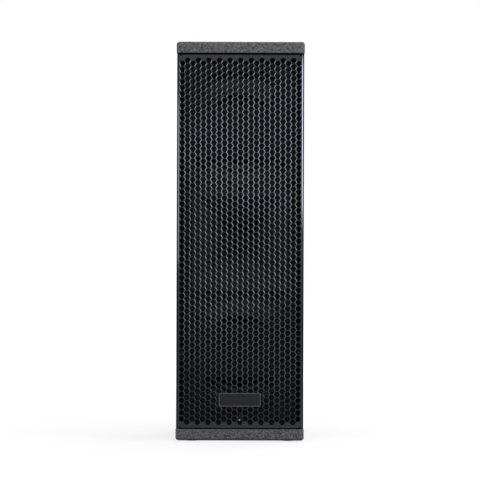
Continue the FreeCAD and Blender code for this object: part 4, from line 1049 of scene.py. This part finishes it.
# ------------------------------------------------------------------------------ grille
@dataclass
class Grille:
    """Perforated steel sheet, folded back along its four sides, with four tabs inside.

    Attributes:
        pitch: Distance between neighbouring holes.
        hole: Width of a hole across its flats.
        columns: Columns of holes; every second one is long.
        rows: Holes in a long column.
        rise: Height of the pattern's middle above the middle of the baffle.
        facet: Width of the pressed facet along the side folds, seen from the front.
        crease: Width of the facet along the upper and lower folds.
        lean: Angle of the facets to the sheet, in degrees.
        slope: Width of the sloping edge that the punch leaves round each hole.
        slant: Angle of that edge to the sheet, in degrees.
        lip: Width and height of the bevel between that edge and the hole's wall.
        guard: Width of the level strip just before each fold.
        tab: Width, height and thickness of the tabs.
        tab_hole: Radius of the tabs' holes.
        tab_steps: Corners round each tab and its hole.
        relief_start: Distance of the corners' bending relief from the sheet's sides.
        relief_width: Width of the relief.
        relief_depth: Depth of the relief.
    """

    pitch: float = 7.68 * MM
    hole: float = 6.35 * MM
    columns: int = 23
    rows: int = 60
    rise: float = -0.15 * MM
    facet: float = 1.0 * MM
    crease: float = 0.4 * MM
    lean: float = 40.0
    slope: float = 0.585 * MM
    slant: float = 30.0
    lip: Flat = (0.04 * MM, 0.08 * MM)
    guard: float = 0.06 * MM
    tab: Point = (6 * MM, 20 * MM, 1.2 * MM)
    tab_hole: float = 1.75 * MM
    tab_steps: int = 16
    relief_start: float = 2.0 * MM
    relief_width: float = 2.0 * MM
    relief_depth: float = 2.0 * MM

    def __post_init__(self) -> None:
        """Read the sheet's place from the construction model and spread the pattern on it."""
        low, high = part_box("grille")
        self.front, self.sheet = low.y, high.y - low.y
        self.half, self.rear = high.x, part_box("grille_frame")[1].y
        self.low, self.high = low.z, high.z
        self.middle = node_middle("front_baffle").z + self.rise
        self.corner = self.pitch / 2 * math.tan(math.pi / 6)
        self.reach = self.half - self.facet - self.guard
        self.column_places = spaced(self.columns, self.pitch * math.sqrt(3) / 2)
        self.side_heights = spaced(self.rows - 1, self.pitch, self.middle)

    def sixth(self) -> Mesh:
        """Build one side of a hole, from the middle of the bar above it to its wall."""
        inner = self.hole / 2
        brink, drop = inner + self.lip[0], self.slope * math.tan(math.radians(self.slant))
        section = [(self.pitch / 2, 0.0), (brink + self.slope, 0.0), (brink, drop),
                   (inner, drop + self.lip[1]), (inner, self.sheet), (self.pitch / 2, self.sheet)]
        taper = math.tan(math.pi / 6)
        draft = Draft()
        draft.strip(*([(side * reach * taper, self.front + depth, reach)
                       for reach, depth in section] for side in (-1, 1)))
        return plain_mesh("sixth", draft.points, draft.faces)

    def field(self) -> Mesh:
        """Copy the side six times round each hole and the hole over the whole pattern."""
        sheet = GeometrySheet("staggered_holes")
        pitch, middle = sheet.size("Pitch"), sheet.size("Middle")
        columns, rows = sheet.size("Columns", "Int"), sheet.size("Rows", "Int")
        turn = sheet.vector(0.0, sheet.sum("MULTIPLY", sheet.index(), math.pi / 3), 0.0)
        hole = sheet.welded(sheet.copied(sheet.points(6), sheet.pattern, turn), MICRON)
        index = sheet.index()
        column = sheet.sum("FLOOR", sheet.sum("DIVIDE", sheet.sum("ADD", index, 0.5), rows))
        row = sheet.sum("SUBTRACT", index, sheet.sum("MULTIPLY", column, rows))
        short = sheet.sum("SUBTRACT", 1.0, sheet.sum("MODULO", column, 2.0))
        step = sheet.sum("ADD", self.centred(sheet, row, rows), sheet.sum("MULTIPLY", short, 0.5))
        across = sheet.sum("MULTIPLY", self.centred(sheet, column, columns),
                           sheet.sum("MULTIPLY", pitch, math.sqrt(3) / 2))
        up = sheet.sum("ADD", sheet.sum("MULTIPLY", step, pitch), middle)
        points = sheet.points(sheet.sum("MULTIPLY", columns, rows))
        places = sheet.moved(points, sheet.vector(across, 0.0, up))
        last = sheet.sum("SUBTRACT", rows, 0.5)
        inputs = {"Geometry": places,
                  "Selection": sheet.sum("GREATER_THAN", sheet.sum("ADD", row, short), last)}
        kept = sheet.add("GeometryNodeDeleteGeometry", inputs, domain="POINT")
        holes = sheet.copied(kept.outputs[0], hole)
        sheet.finish(sheet.welded(holes, 2 * MICRON), Surface.GRILLE)
        return sheet.run(self.sixth(), pitch=self.pitch, middle=self.middle, columns=self.columns,
                         rows=self.rows)

    def centred(self, sheet: GeometrySheet, number: Socket, count: Socket) -> Socket:
        """Count a number of a row from the row's middle."""
        half = sheet.sum("DIVIDE", sheet.sum("SUBTRACT", count, 1.0), 2.0)
        return sheet.sum("SUBTRACT", number, half)

    def edge_chain(self, end: int) -> list[Flat]:
        """Follow the pattern's upper or lower edge between its outermost columns.

        Args:
            end: 1 for the upper edge, -1 for the lower.

        Returns:
            Points (x, z) from left to right.
        """
        chain = []
        for column, x in enumerate(self.column_places):
            z = self.middle + end * (self.rows - 1 + column % 2) / 2 * self.pitch
            chain += [(x - self.corner, z), (x + self.corner, z)]
        return chain[1:-1]

    def both_faces(self, draft: Draft, *corners: Flat) -> None:
        """Add a face through corners (x, z) to the blank's front and to its back."""
        for y in (self.front, self.front + self.sheet):
            draft.face(*[(x, y, z) for x, z in corners])

    def rim(self, draft: Draft, *corners: Flat) -> None:
        """Close the blank's thickness along a line of corners (x, z)."""
        draft.strip(*([(x, y, z) for x, z in corners]
                      for y in (self.front, self.front + self.sheet)))

    def border(self, draft: Draft, side: int, end: int, brink: float) -> None:
        """Fill one corner of the blank and half of its border, with the bending relief.

        Args:
            draft: Where the faces go.
            side: 1 for the right, -1 for the left.
            end: 1 for the upper end, -1 for the lower.
            brink: Height at which the upper or lower wing begins.
        """
        notch = self.half - self.relief_start
        tip = self.high if end > 0 else self.low
        base = tip - end * self.relief_depth
        chain = self.edge_chain(end)[::side]
        last, outer = chain[-1], chain[-1][0] + side * 2 * self.corner
        stops = {name: (side * x, z) for name, x, z in (
            ("pattern", self.reach, self.side_heights[::end][-1]), ("tip", self.reach, tip),
            ("outside", notch, tip), ("floor", notch, base),
            ("wall", notch - self.relief_width, base),
            ("wing", notch - self.relief_width, brink))}
        corner = (outer, last[1])
        self.both_faces(draft, last, (last[0], brink), stops["wing"], stops["wall"], corner)
        self.both_faces(draft, corner, stops["wall"], stops["floor"], stops["pattern"])
        self.both_faces(draft, stops["pattern"], stops["floor"], stops["outside"], stops["tip"])
        self.rim(draft, *[stops[name] for name in ("wing", "wall", "floor", "outside", "tip")])

    def squared(self, points: Sequence[Point]) -> list[Point]:
        """Draw the outermost corners of the pattern in to the side folds.

        Args:
            points: Points of the pattern.

        Returns:
            Where they go.
        """
        places = np.array(points, dtype=float)
        widest = self.column_places[-1] + 2 * self.corner
        outer = np.abs(places[:, 0]) > widest - self.corner / 2
        places[outer, 0] -= np.sign(places[outer, 0]) * (widest - self.reach)
        return [tuple(place) for place in places]

    def stations(self, half: float, width: float) -> tuple[float, float, float, float]:
        """Give the lines of one wing, from just inside its fold to its free edge."""
        fold = half - width
        rise = width / math.cos(math.radians(self.lean))
        drop = width * math.tan(math.radians(self.lean))
        return fold - self.guard, fold, fold + rise, fold + rise + self.rear - self.front - drop

    def wings(self, draft: Draft) -> None:
        """Add the four wings that are folded back, still flat."""
        heights = [self.low, *self.side_heights, self.high]
        lines = self.stations(self.half, self.facet)
        for side in (-1, 1):
            self.wing_faces(draft, [[(side * x, z) for x in lines] for z in heights])
        inner = self.half - self.relief_start - self.relief_width
        centre, half = (self.low + self.high) / 2, (self.high - self.low) / 2
        for end in (-1, 1):
            widths = [-inner, *[x for x, _ in self.edge_chain(end)], inner]
            levels = [centre + end * level for level in self.stations(half, self.crease)]
            self.wing_faces(draft, [[(x, z) for z in levels] for x in widths])

    def wing_faces(self, draft: Draft, rows: Sequence[Sequence[Flat]]) -> None:
        """Cover one wing's front and back and close its three free sides."""
        for first, second in zip(rows, rows[1:]):
            for (a, b), (c, d) in zip(zip(first, second), list(zip(first, second))[1:]):
                self.both_faces(draft, a, b, d, c)
        self.rim(draft, *rows[0])
        self.rim(draft, *rows[-1])
        self.rim(draft, *[row[-1] for row in rows])

    def folded(self, points: Sequence[Point]) -> list[Point]:
        """Fold the flat blank's four wings back about their facets.

        Args:
            points: Points of the blank.

        Returns:
            Where they go.
        """
        places = np.array(points, dtype=float)
        behind = places[:, 1] > self.front + self.sheet / 2
        beside = np.abs(places[:, 0]) > self.half - self.facet + HAIR
        slope = math.tan(math.radians(self.lean))
        blunt = math.tan(math.radians(45 - self.lean / 2)) * self.sheet
        depth = self.rear - self.front
        for axis, centre, half, width, used in (
                (0, 0.0, self.half, self.facet, beside),
                (2, (self.low + self.high) / 2, (self.high - self.low) / 2, self.crease, ~beside)):
            offset = places[:, axis] - centre
            away = np.abs(offset)
            lines, drop = self.stations(half, width)[1:], width * slope
            back = half - self.sheet
            reach = np.where(behind, np.interp(away, lines, (half - width, back, back)),
                             np.interp(away, lines, (half - width, half, half)))
            sunk = np.where(behind, np.interp(away, lines, (self.sheet, drop + blunt, depth)),
                            np.interp(away, lines, (0, drop, depth)))
            used = used & (away > lines[0] - HAIR)
            places[used, axis] = (centre + np.sign(offset) * reach)[used]
            places[used, 1] = self.front + sunk[used]
        return [tuple(place) for place in places]

    def tabs(self) -> Mesh:
        """Build the four tabs that the grille's screws go through."""
        draft, (wide, high, thick) = Draft(), self.tab
        angles = [angle + math.pi / self.tab_steps for angle in round_angles(self.tab_steps)]
        for low, upper in node_solids("grille_screws"):
            centre = (low + upper) / 2
            x = math.copysign(self.half - self.sheet - wide / 2, centre.x)
            outer, inner = [], []
            for angle in angles:
                across, up = math.cos(angle), math.sin(angle)
                scale = min(wide / 2 / abs(across), high / 2 / abs(up))
                outer.append((x + scale * across, centre.z + scale * up))
                inner.append((centre.x + self.tab_hole * across, centre.z + self.tab_hole * up))
            front, rear = self.rear - thick, self.rear
            edges = ((outer, front), (outer, rear), (inner, rear), (inner, front), (outer, front))
            draft.lofted([[(a, y, b) for a, b in line] for line, y in edges], capped=False)
        return draft.mesh("grille_tabs", sharp=30)

    def build(self) -> None:
        """Make the folded sheet and its tabs."""
        draft = Draft()
        draft.take(self.field())
        draft.points = self.squared(draft.points)
        margin = self.crease + self.guard
        brinks = {1: self.high - margin, -1: self.low + margin}
        for end, brink in brinks.items():
            chain = self.edge_chain(end)
            for left, right in zip(chain, chain[1:]):
                self.both_faces(draft, left, right, (right[0], brink), (left[0], brink))
            for side in (-1, 1):
                self.border(draft, side, end, brink)
        outer = self.column_places[-1] + self.corner
        for side in (-1, 1):
            for lower, upper in zip(self.side_heights, self.side_heights[1:]):
                self.both_faces(draft, (side * self.reach, lower), (side * self.reach, upper),
                                (side * outer, (lower + upper) / 2))
        self.wings(draft)
        draft.points = self.folded(draft.points)
        sheet = draft.mesh("grille_sheet", sharp=25, weld=3 * MICRON)
        show("grille_sheet", sheet, Surface.GRILLE, "grille", "grille_frame", slot="grille_steel")
        show("grille_tabs", self.tabs(), Surface.TAB, slot="grille_steel")


# ------------------------------------------------------------------------------ cabinet and trim
@dataclass
class Cabinet:
    """Plywood cabinet with its textured coat, feet, pole socket and rigging points."""

    def build(self) -> None:
        """Dress the cabinet's pieces."""
        dress(Surface.COAT, "top_plate", "bottom_plate", "left_taper_wall", "right_taper_wall",
              "rear_baffle")
        dress(Surface.WALL, "left_side_wall", "right_side_wall")
        dress(Surface.BAFFLE, "front_baffle")
        dress(Surface.FOOT, "rubber_feet")
        dress(Surface.POLE, "pole_socket")
        dress(Surface.INSERT, "rigging_inserts")


@dataclass
class FrontTrim:
    """Bare badge, status lamp and loading panels.

    Attributes:
        rim: Width of the badge's raised rim.
        corner: Radius of the badge's corners.
        sink: Depth of the badge's face below its rim.
        dish: Width over which the face sinks further, and how far.
        lens: Radius of the status lamp's dome.
        flange: Thickness of the lamp's flange, and the width of its bevel.
    """

    rim: float = 1.1 * MM
    corner: float = 1.6 * MM
    sink: float = 0.45 * MM
    dish: Flat = (3 * MM, 0.03 * MM)
    lens: float = 2.2 * MM
    flange: Flat = (1.5 * MM, 0.3 * MM)

    def badge(self, *section: Flat) -> Mesh:
        """Build a plate in the badge's outline.

        Args:
            *section: Distances from the outline and depths behind the badge's front.

        Returns:
            The plate's mesh.
        """
        low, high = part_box("badge")
        size, middle = high - low, (low + high) / 2
        draft = Draft()
        draft.lofted([plate_points(size.x - 2 * inset, size.z - 2 * inset,
                                   max(self.corner - inset, 0.3 * MM), low.y + depth, middle.x,
                                   middle.z) for inset, depth in section])
        return draft.mesh("badge_plate", sharp=40)

    def lamp(self) -> Mesh:
        """Build the status lamp's domed light pipe with its flange."""
        low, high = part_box("status_led")
        middle, wide, (thick, bevel) = (low + high) / 2, (high.x - low.x) / 2, self.flange
        outline = [(0.0, low.y)] + arc((0.0, low.y + self.lens), self.lens, -90, 0)[1:]
        outline += [(self.lens, high.y - thick), (wide - bevel, high.y - thick),
                    (wide, high.y - thick + bevel), (wide, high.y), (0.0, high.y)]
        return turned("status_lamp", outline, middle.x, middle.z, 32)

    def build(self) -> None:
        """Make the trim."""
        low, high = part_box("badge")
        thick, half = high.y - low.y, self.rim / 2
        bead = arc((half, half), half, 180, 360, 8)
        show("badge_rim", self.badge((0.0, thick), *bead, (self.rim, thick)), Surface.RIM,
             slot="badge_alloy")
        face = self.badge((half, thick), (half, self.sink + 0.1 * MM), (self.rim, self.sink),
                          (self.rim + self.dish[0], self.sink - self.dish[1]))
        show("badge_plate", face, Surface.BADGE, "badge", slot="badge_alloy")
        show("status_lamp", self.lamp(), Surface.LENS, "status_led", slot="led_lens")
        dress(Surface.PANEL, "upper_loading_panel", "lower_loading_panel")


# ------------------------------------------------------------------------------ drivers
@dataclass
class HornSection:
    """Square horn with its compression driver."""

    def build(self) -> None:
        """Dress the horn and its driver."""
        dress(Surface.HORN, "horn")
        dress(Surface.MOTOR, "tweeter_pole", "tweeter_top_plate")
        dress(Surface.FERRITE, "tweeter_magnet")
        dress(Surface.DOME, "tweeter_diaphragm")
        dress(Surface.BASKET, "tweeter_rear_cover")


@dataclass
class Woofer:
    """One woofer, with a surround and a spider made between its basket and its cone.

    Attributes:
        side: "upper" or "lower".
        sectors: Number of pieces that each flexible ring is made in.
        steps: Faces round each of those pieces.
        roll: Radius of the surround's crest, and half the width of its roll.
        skin: Thickness of the surround.
        glue: Inner radius of the surround.
        held: Radii between which the surround bends; not used.
        neck: Inner radius of the spider.
        cloth: Thickness of the spider.
        waves: Corrugations of the spider.
        hems: Level widths at the spider's outer and inner edge; not used.
    """

    side: str
    sectors: int = 12
    steps: int = 8
    roll: Flat = (48.15 * MM, 4.35 * MM)
    skin: float = 0.8 * MM
    glue: float = 39.5 * MM
    held: Flat = (52.5 * MM, 43 * MM)
    neck: float = 16.2 * MM
    cloth: float = 0.5 * MM
    waves: int = 5
    hems: Flat = (1 * MM, 2 * MM)

    def __post_init__(self) -> None:
        """Read the driver's axis from the construction model."""
        self.body = f"{self.side}_cone"
        middle = node_middle(self.body)
        self.x, self.z = middle.x, middle.z

    def flexible(self, name: str, section: Sequence[Flat], surface: Surface) -> None:
        """Make a ring in sectors, reaching from the cabinet to the cone.

        Args:
            name: Name of the ring and of its construction node.
            section: Closed section of (radius, y) points.
            surface: Its finish.
        """
        for sector, start in enumerate(round_angles(self.sectors)):
            angles = [start + 2 * math.pi * step / self.sectors / self.steps
                      for step in range(self.steps + 1)]
            draft = Draft()
            draft.lofted([[(self.x + radius * math.cos(angle), y, self.z + radius * math.sin(angle))
                           for radius, y in section] for angle in angles])
            piece = placed(f"{self.side}_{name}_{sector + 1}", draft.mesh(name, sharp=60))
            paint(piece.data, surface)
            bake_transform(piece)
            if sector == 0:
                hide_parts(f"{self.side}_{name}")

    def surround(self) -> None:
        """Make the half-roll surround."""
        low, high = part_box(f"{self.side}_surround")
        (crest, half), wall, base = self.roll, self.skin, high.y
        outer, top = (high.x - low.x) / 2, high.y - self.skin
        front = [(radius, top + (y - top) * (top - low.y) / half)
                 for radius, y in arc((crest, top), half, 0, -180, 12)]
        inside = (half - wall) / half
        rear = [(crest + (radius - crest) * inside, base + (y - top) * inside)
                for radius, y in reversed(front)]
        section = [(outer, base), (outer, top), *front, (self.glue, top), (self.glue, base), *rear]
        self.flexible("surround", section, Surface.ROLL)

    def spider(self) -> None:
        """Make the corrugated spider."""
        low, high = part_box(f"{self.side}_spider")
        outer, middle, steps, fade = (high.x - low.x) / 2, (low.y + high.y) / 2, 36, 4
        rise = (high.y - low.y) / 2 - self.cloth / 2
        line = []
        for step in range(steps + 1):
            wave = rise * math.sin(2 * math.pi * self.waves * step / steps)
            line.append((self.neck + (outer - self.neck) * step / steps,
                         middle + wave * min(step, steps - step, fade) / fade))
        section = [(radius, y - self.cloth / 2) for radius, y in line]
        section += [(radius, y + self.cloth / 2) for radius, y in reversed(line)]
        self.flexible("spider", section, Surface.SPIDER)

    def build(self) -> None:
        """Dress the driver and make its flexible rings."""
        side = self.side
        dress(Surface.CONE, f"{side}_cone")
        dress(Surface.CAP, f"{side}_dust_cap")
        dress(Surface.COIL, f"{side}_voice_coil")
        dress(Surface.BASKET, f"{side}_basket")
        dress(Surface.MOTOR, f"{side}_top_plate", f"{side}_yoke")
        dress(Surface.FERRITE, f"{side}_magnet")
        self.surround()
        self.spider()


# ------------------------------------------------------------------------------ amplifier
@dataclass
class Amplifier:
    """Rear amplifier with its heat sink, controls and sockets.

    Attributes:
        ribs: Ribs round each knob's grip.
        shaft: Radius of each knob's shaft.
        skirt: Height of each knob's grip.
        marks: Dots of the scale round each knob.
        turn: Angle that the scale covers, in degrees.
        gap: Distance from the grip to the dots.
        dots: Radii of the scale's large and small dots.
        line: Width, length and distance from the axis of the pointer line.
    """

    ribs: int = 24
    shaft: float = 3 * MM
    skirt: float = 6 * MM
    marks: int = 11
    turn: float = 300.0
    gap: float = 3 * MM
    dots: Flat = (0.75 * MM, 0.45 * MM)
    line: Point = (1.1 * MM, 5 * MM, 3.6 * MM)

    def knob(self, name: str) -> Mesh:
        """Build a ribbed knob with a dished end.

        Args:
            name: The knob's construction node.

        Returns:
            The knob's mesh.
        """
        low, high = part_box(name)
        middle, radius = (low + high) / 2, (high.x - low.x) / 2
        base, end, steps = high.y - self.skirt, high.y, self.ribs * 6
        loops = [ring_points(self.shaft, y, middle.x, middle.z, steps) for y in (low.y, base)]
        grip = ((0.97, 0.0, base), (1.0, 0.0, base + 0.4 * MM), (1.0, 0.0, base + 1.1 * MM),
                (0.98, 0.05, base + 1.5 * MM), (0.92, 0.05, end - 1.0 * MM),
                (0.89, 0.03, end - 0.4 * MM), (0.83, 0.0, end), (0.7, 0.0, end),
                (0.6, 0.0, end - 0.35 * MM), (0.3, 0.0, end - 0.5 * MM))
        for scale, depth, y in grip:
            loop = []
            for angle in round_angles(steps):
                reach = radius * scale * (1 - depth * (0.5 - 0.5 * math.cos(self.ribs * angle)))
                loop.append((middle.x + reach * math.cos(angle), y,
                             middle.z + reach * math.sin(angle)))
            loops.append(loop)
        draft = Draft()
        draft.lofted(loops)
        return draft.mesh(name, sharp=50)

    def pointer(self, name: str) -> Mesh:
        """Build the pale pointer line on a knob's end."""
        low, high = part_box(name)
        middle, (wide, long, out) = (low + high) / 2, self.line
        draft = Draft()
        draft.lofted([
            plate_points(wide - less, long - less, (wide - less) / 2 - 0.01 * MM, high.y - depth,
                         middle.x, middle.z + out)
            for less, depth in ((0.0, 0.9 * MM), (0.0, 0.05 * MM), (0.3 * MM, 0.0))])
        return draft.mesh(name + "_pointer", sharp=40)

    def scale(self, *knobs: str) -> Mesh:
        """Print a scale of dots round each knob, with a larger dot at its middle and ends.

        Args:
            *knobs: The knobs' construction nodes.

        Returns:
            The dots' mesh.
        """
        face, draft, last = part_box("amp_panel")[1].y, Draft(), self.marks - 1
        for name in knobs:
            low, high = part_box(name)
            middle, reach = (low + high) / 2, (high.x - low.x) / 2 + self.gap
            for mark in range(self.marks):
                angle = math.radians(90 + self.turn * (0.5 - mark / last))
                size = self.dots[mark not in (0, last // 2, last)]
                x, z = middle.x + reach * math.cos(angle), middle.z + reach * math.sin(angle)
                draft.lofted([ring_points(size, face + depth, x, z, 12)
                              for depth in (-0.05 * MM, 0.04 * MM)])
        return draft.mesh("dial_scale")

    def build(self) -> None:
        """Dress the amplifier and make its knobs."""
        dress(Surface.AMP, "amp_panel")
        dress(Surface.SINK, "heat_sink")
        dress(Surface.HOUSING, "amp_housing")
        dress(Surface.BOARD, "amp_board")
        dress(Surface.CORE, "transformer")
        dress(Surface.SLEEVE, "capacitors")
        dress(Surface.POT, "control_pots")
        dress(Surface.SIGNAL, "signal_input", "signal_link")
        dress(Surface.POWER, "power_inlet")
        dress(Surface.LINK, "power_link")
        dress(Surface.LATCH, "signal_latch")
        for name in ("level_knob", "preset_knob"):
            show(name + "_grip", self.knob(name), Surface.KNOB, name, body=name,
                 slot="knob_moulding")
            show(name + "_pointer", self.pointer(name), Surface.PRINT, body=name)
        show("dial_scale", self.scale("level_knob", "preset_knob"), Surface.PRINT)


# ------------------------------------------------------------------------------ studio
@dataclass(frozen=True)
class Lamp:
    """Soft rectangular lamp.

    Attributes:
        name: The lamp's name.
        place: Where it stands.
        target: Where it points.
        size: Its width and height.
        power: Its power in watts.
    """

    name: str
    place: Point
    target: Point
    size: Flat
    power: float

    def build(self) -> None:
        """Place the lamp."""
        data = bpy.data.lights.new(self.name, "AREA")
        data.shape, data.energy = "RECTANGLE", self.power
        data.size, data.size_y = self.size
        lamp = placed(self.name, data)
        lamp.location = self.place
        lamp.rotation_mode = "QUATERNION"
        way = Vector(self.target) - Vector(self.place)
        lamp.rotation_quaternion = way.to_track_quat("-Z", "Y")
        lamp.visible_camera = False


LAMPS = (
    Lamp("right_box", (0.60, -0.50, 0.65), (0, -0.1, 0.30), (0.14, 0.32), 0.42),
    Lamp("right_veil", (0.61, -0.51, 0.65), (0, -0.1, 0.30), (0.14, 0.58), 0.20),
    Lamp("left_box", (-0.60, -0.50, 0.84), (0, -0.1, 0.48), (0.14, 0.32), 0.36),
    Lamp("left_veil", (-0.61, -0.51, 0.70), (0, -0.1, 0.35), (0.14, 0.60), 0.30),
    Lamp("right_strip", (0.67, -0.19, 0.41), (0.078, -0.1, 0.40), (0.40, 0.24), 2.0),
    Lamp("left_strip", (-0.67, -0.19, 0.34), (-0.078, -0.1, 0.33), (0.40, 0.24), 0.65),
    Lamp("front_box", (0, -1.3, 1.15), (0, -0.1, 0.28), (0.8, 0.4), 4.5),
    Lamp("rear_box", (0.9, 1.4, 1.0), (0, 0.1, 0.3), (0.8, 0.8), 9),
    Lamp("top_box", (0, 1.0, 1.7), (0, 0.1, 0.4), (1.2, 0.8), 5))


@dataclass
class Studio:
    """Pale floor, white surround, soft lamps and the camera in front.

    Attributes:
        distance: From the camera to the front of the cabinet.
        view_width: Width that the camera sees at the front of the cabinet.
        roll: Turn of the camera about its line of sight, in degrees.
        lift: Height of the camera above the cabinet's middle.
        shift: Distance of the camera to the right of the cabinet's middle.
        soft: Light that matt surfaces get from all round.
        backdrop: Direction along Y where the white backdrop begins, and where it is full.
        horizon: Direction along Z of the band that glossy surfaces mirror, and how far from it
            the band starts to fade and is gone.
        band: Light in the middle of that band, and well above and below it.
        ground: Radius of the floor.
        behind: Place along Y where glossy surfaces begin to mirror it, and where they do fully.
        share: Share of the floor's colour that comes from its own light.
        white: Strength of that light beside the cabinet and further out.
        spread: Distances from the cabinet between which that light rises.
    """

    distance: float = 3.0
    view_width: float = 0.6015
    roll: float = -0.19
    lift: float = 1.85 * MM
    shift: float = -0.25 * MM
    soft: float = 0.8
    backdrop: Flat = (-0.1, 0.35)
    horizon: Point = (0.1, 0.05, 0.35)
    band: Flat = (0.4, 0.005)
    ground: float = 8.0
    behind: Flat = (-0.1, 0.5)
    share: float = 0.68
    white: Flat = (1.0, 1.245)
    spread: Flat = (0.15, 1.5)

    def camera(self) -> None:
        """Place the camera level with the middle of the cabinet, square to its front."""
        data = bpy.data.cameras.new("front_camera")
        data.sensor_width = 36
        data.lens = data.sensor_width * self.distance / self.view_width
        camera = placed("front_camera", data)
        low, high = CAD_BOX
        camera.location = (self.shift, low.y - self.distance, (low.z + high.z) / 2 + self.lift)
        camera.rotation_mode = "QUATERNION"
        camera.rotation_quaternion = (Quaternion((0, 1, 0), math.radians(self.roll))
                                      @ Quaternion((1, 0, 0), math.pi / 2))
        bpy.context.scene.camera = camera

    def seen(self, sheet: TreeSheet, behind: Socket) -> Socket:
        """Make a level that is 1 for rays that should meet the white background.

        Args:
            sheet: The nodes of the floor or the surround.
            behind: Share of the white that glossy and transmitted rays see.

        Returns:
            The level.
        """
        ray = sheet.add("ShaderNodeLightPath").outputs
        bounced = sheet.sum("MAXIMUM", ray["Is Glossy Ray"], ray["Is Transmission Ray"])
        return sheet.sum("MAXIMUM", ray["Is Camera Ray"], sheet.sum("MULTIPLY", bounced, behind))

    def sky(self) -> None:
        """Fill the studio with soft light, with its white backdrop behind the cabinet."""
        world = bpy.data.worlds.new("studio")
        world.use_nodes = True
        bpy.context.scene.world = world
        sheet = TreeSheet(world.node_tree)
        _, y, z = sheet.parts(sheet.add("ShaderNodeTexCoord").outputs["Generated"])
        middle, near, far = self.horizon
        behind = self.seen(sheet, sheet.level(y, *self.backdrop))
        steep = sheet.sum("ABSOLUTE", sheet.sum("SUBTRACT", z, middle))
        mirrored = sheet.level(steep, near, far, *self.band)
        matt = sheet.add("ShaderNodeLightPath").outputs["Is Diffuse Ray"]
        light = sheet.level(behind, 0, 1, sheet.level(matt, 0, 1, mirrored, self.soft))
        background = world.node_tree.nodes["Background"].inputs
        sheet.feed(background["Color"], (1, 1, 1, 1))
        sheet.feed(background["Strength"], light)

    def floor(self) -> None:
        """Lay a pale floor that keeps a soft shadow."""
        draft = Draft()
        draft.face(*[(self.ground * math.cos(angle), self.ground * math.sin(angle), 0)
                     for angle in round_angles(64)])
        floor = placed("floor", draft.mesh("floor"))
        sheet = MaterialSheet("pale_floor")
        pale = sheet.tints(sheet.noise(0.4, 2), (0.3, (0.8, 0.8, 0.8)), (0.7, (0.83, 0.83, 0.83)))
        diffuse = sheet.add("ShaderNodeBsdfDiffuse", {"Color": pale})
        behind = self.seen(sheet, sheet.level(sheet.parts(sheet.place)[1], *self.behind))
        away = sheet.add("ShaderNodeVectorMath", {0: sheet.place}, operation="LENGTH")
        white = sheet.level(away.outputs["Value"], *self.spread, *self.white)
        light = {"Strength": sheet.sum("MULTIPLY", behind, white)}
        glow = sheet.add("ShaderNodeEmission", light)
        inputs = {0: self.share, 1: diffuse.outputs[0], 2: glow.outputs[0]}
        both = sheet.add("ShaderNodeMixShader", inputs)
        sheet.feed(sheet.tree.nodes["Material Output"].inputs[0], both.outputs[0])
        floor.data.materials.append(sheet.material)
        floor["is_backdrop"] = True

    def build(self) -> None:
        """Set up the studio."""
        bpy.context.scene.view_settings.view_transform = "Standard"
        self.camera()
        self.sky()
        self.floor()
        for lamp in LAMPS:
            lamp.build()


def main() -> None:
    """Build everything in order and report each piece."""
    logging.basicConfig(level=logging.INFO, format="%(name)s: %(message)s")
    builders = (Studio(), Cabinet(), Grille(), FrontTrim(), HornSection(), Woofer("upper"),
                Woofer("lower"), Amplifier(), Fasteners())
    for builder in builders:
        known = {piece.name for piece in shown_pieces()}
        builder.build()
        LOG.info("%s built", type(builder).__name__)
        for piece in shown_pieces():
            if piece.name not in known:
                LOG.info("%s: %d faces", piece.name, len(piece.data.polygons))


if __name__ == "__main__":
    main()
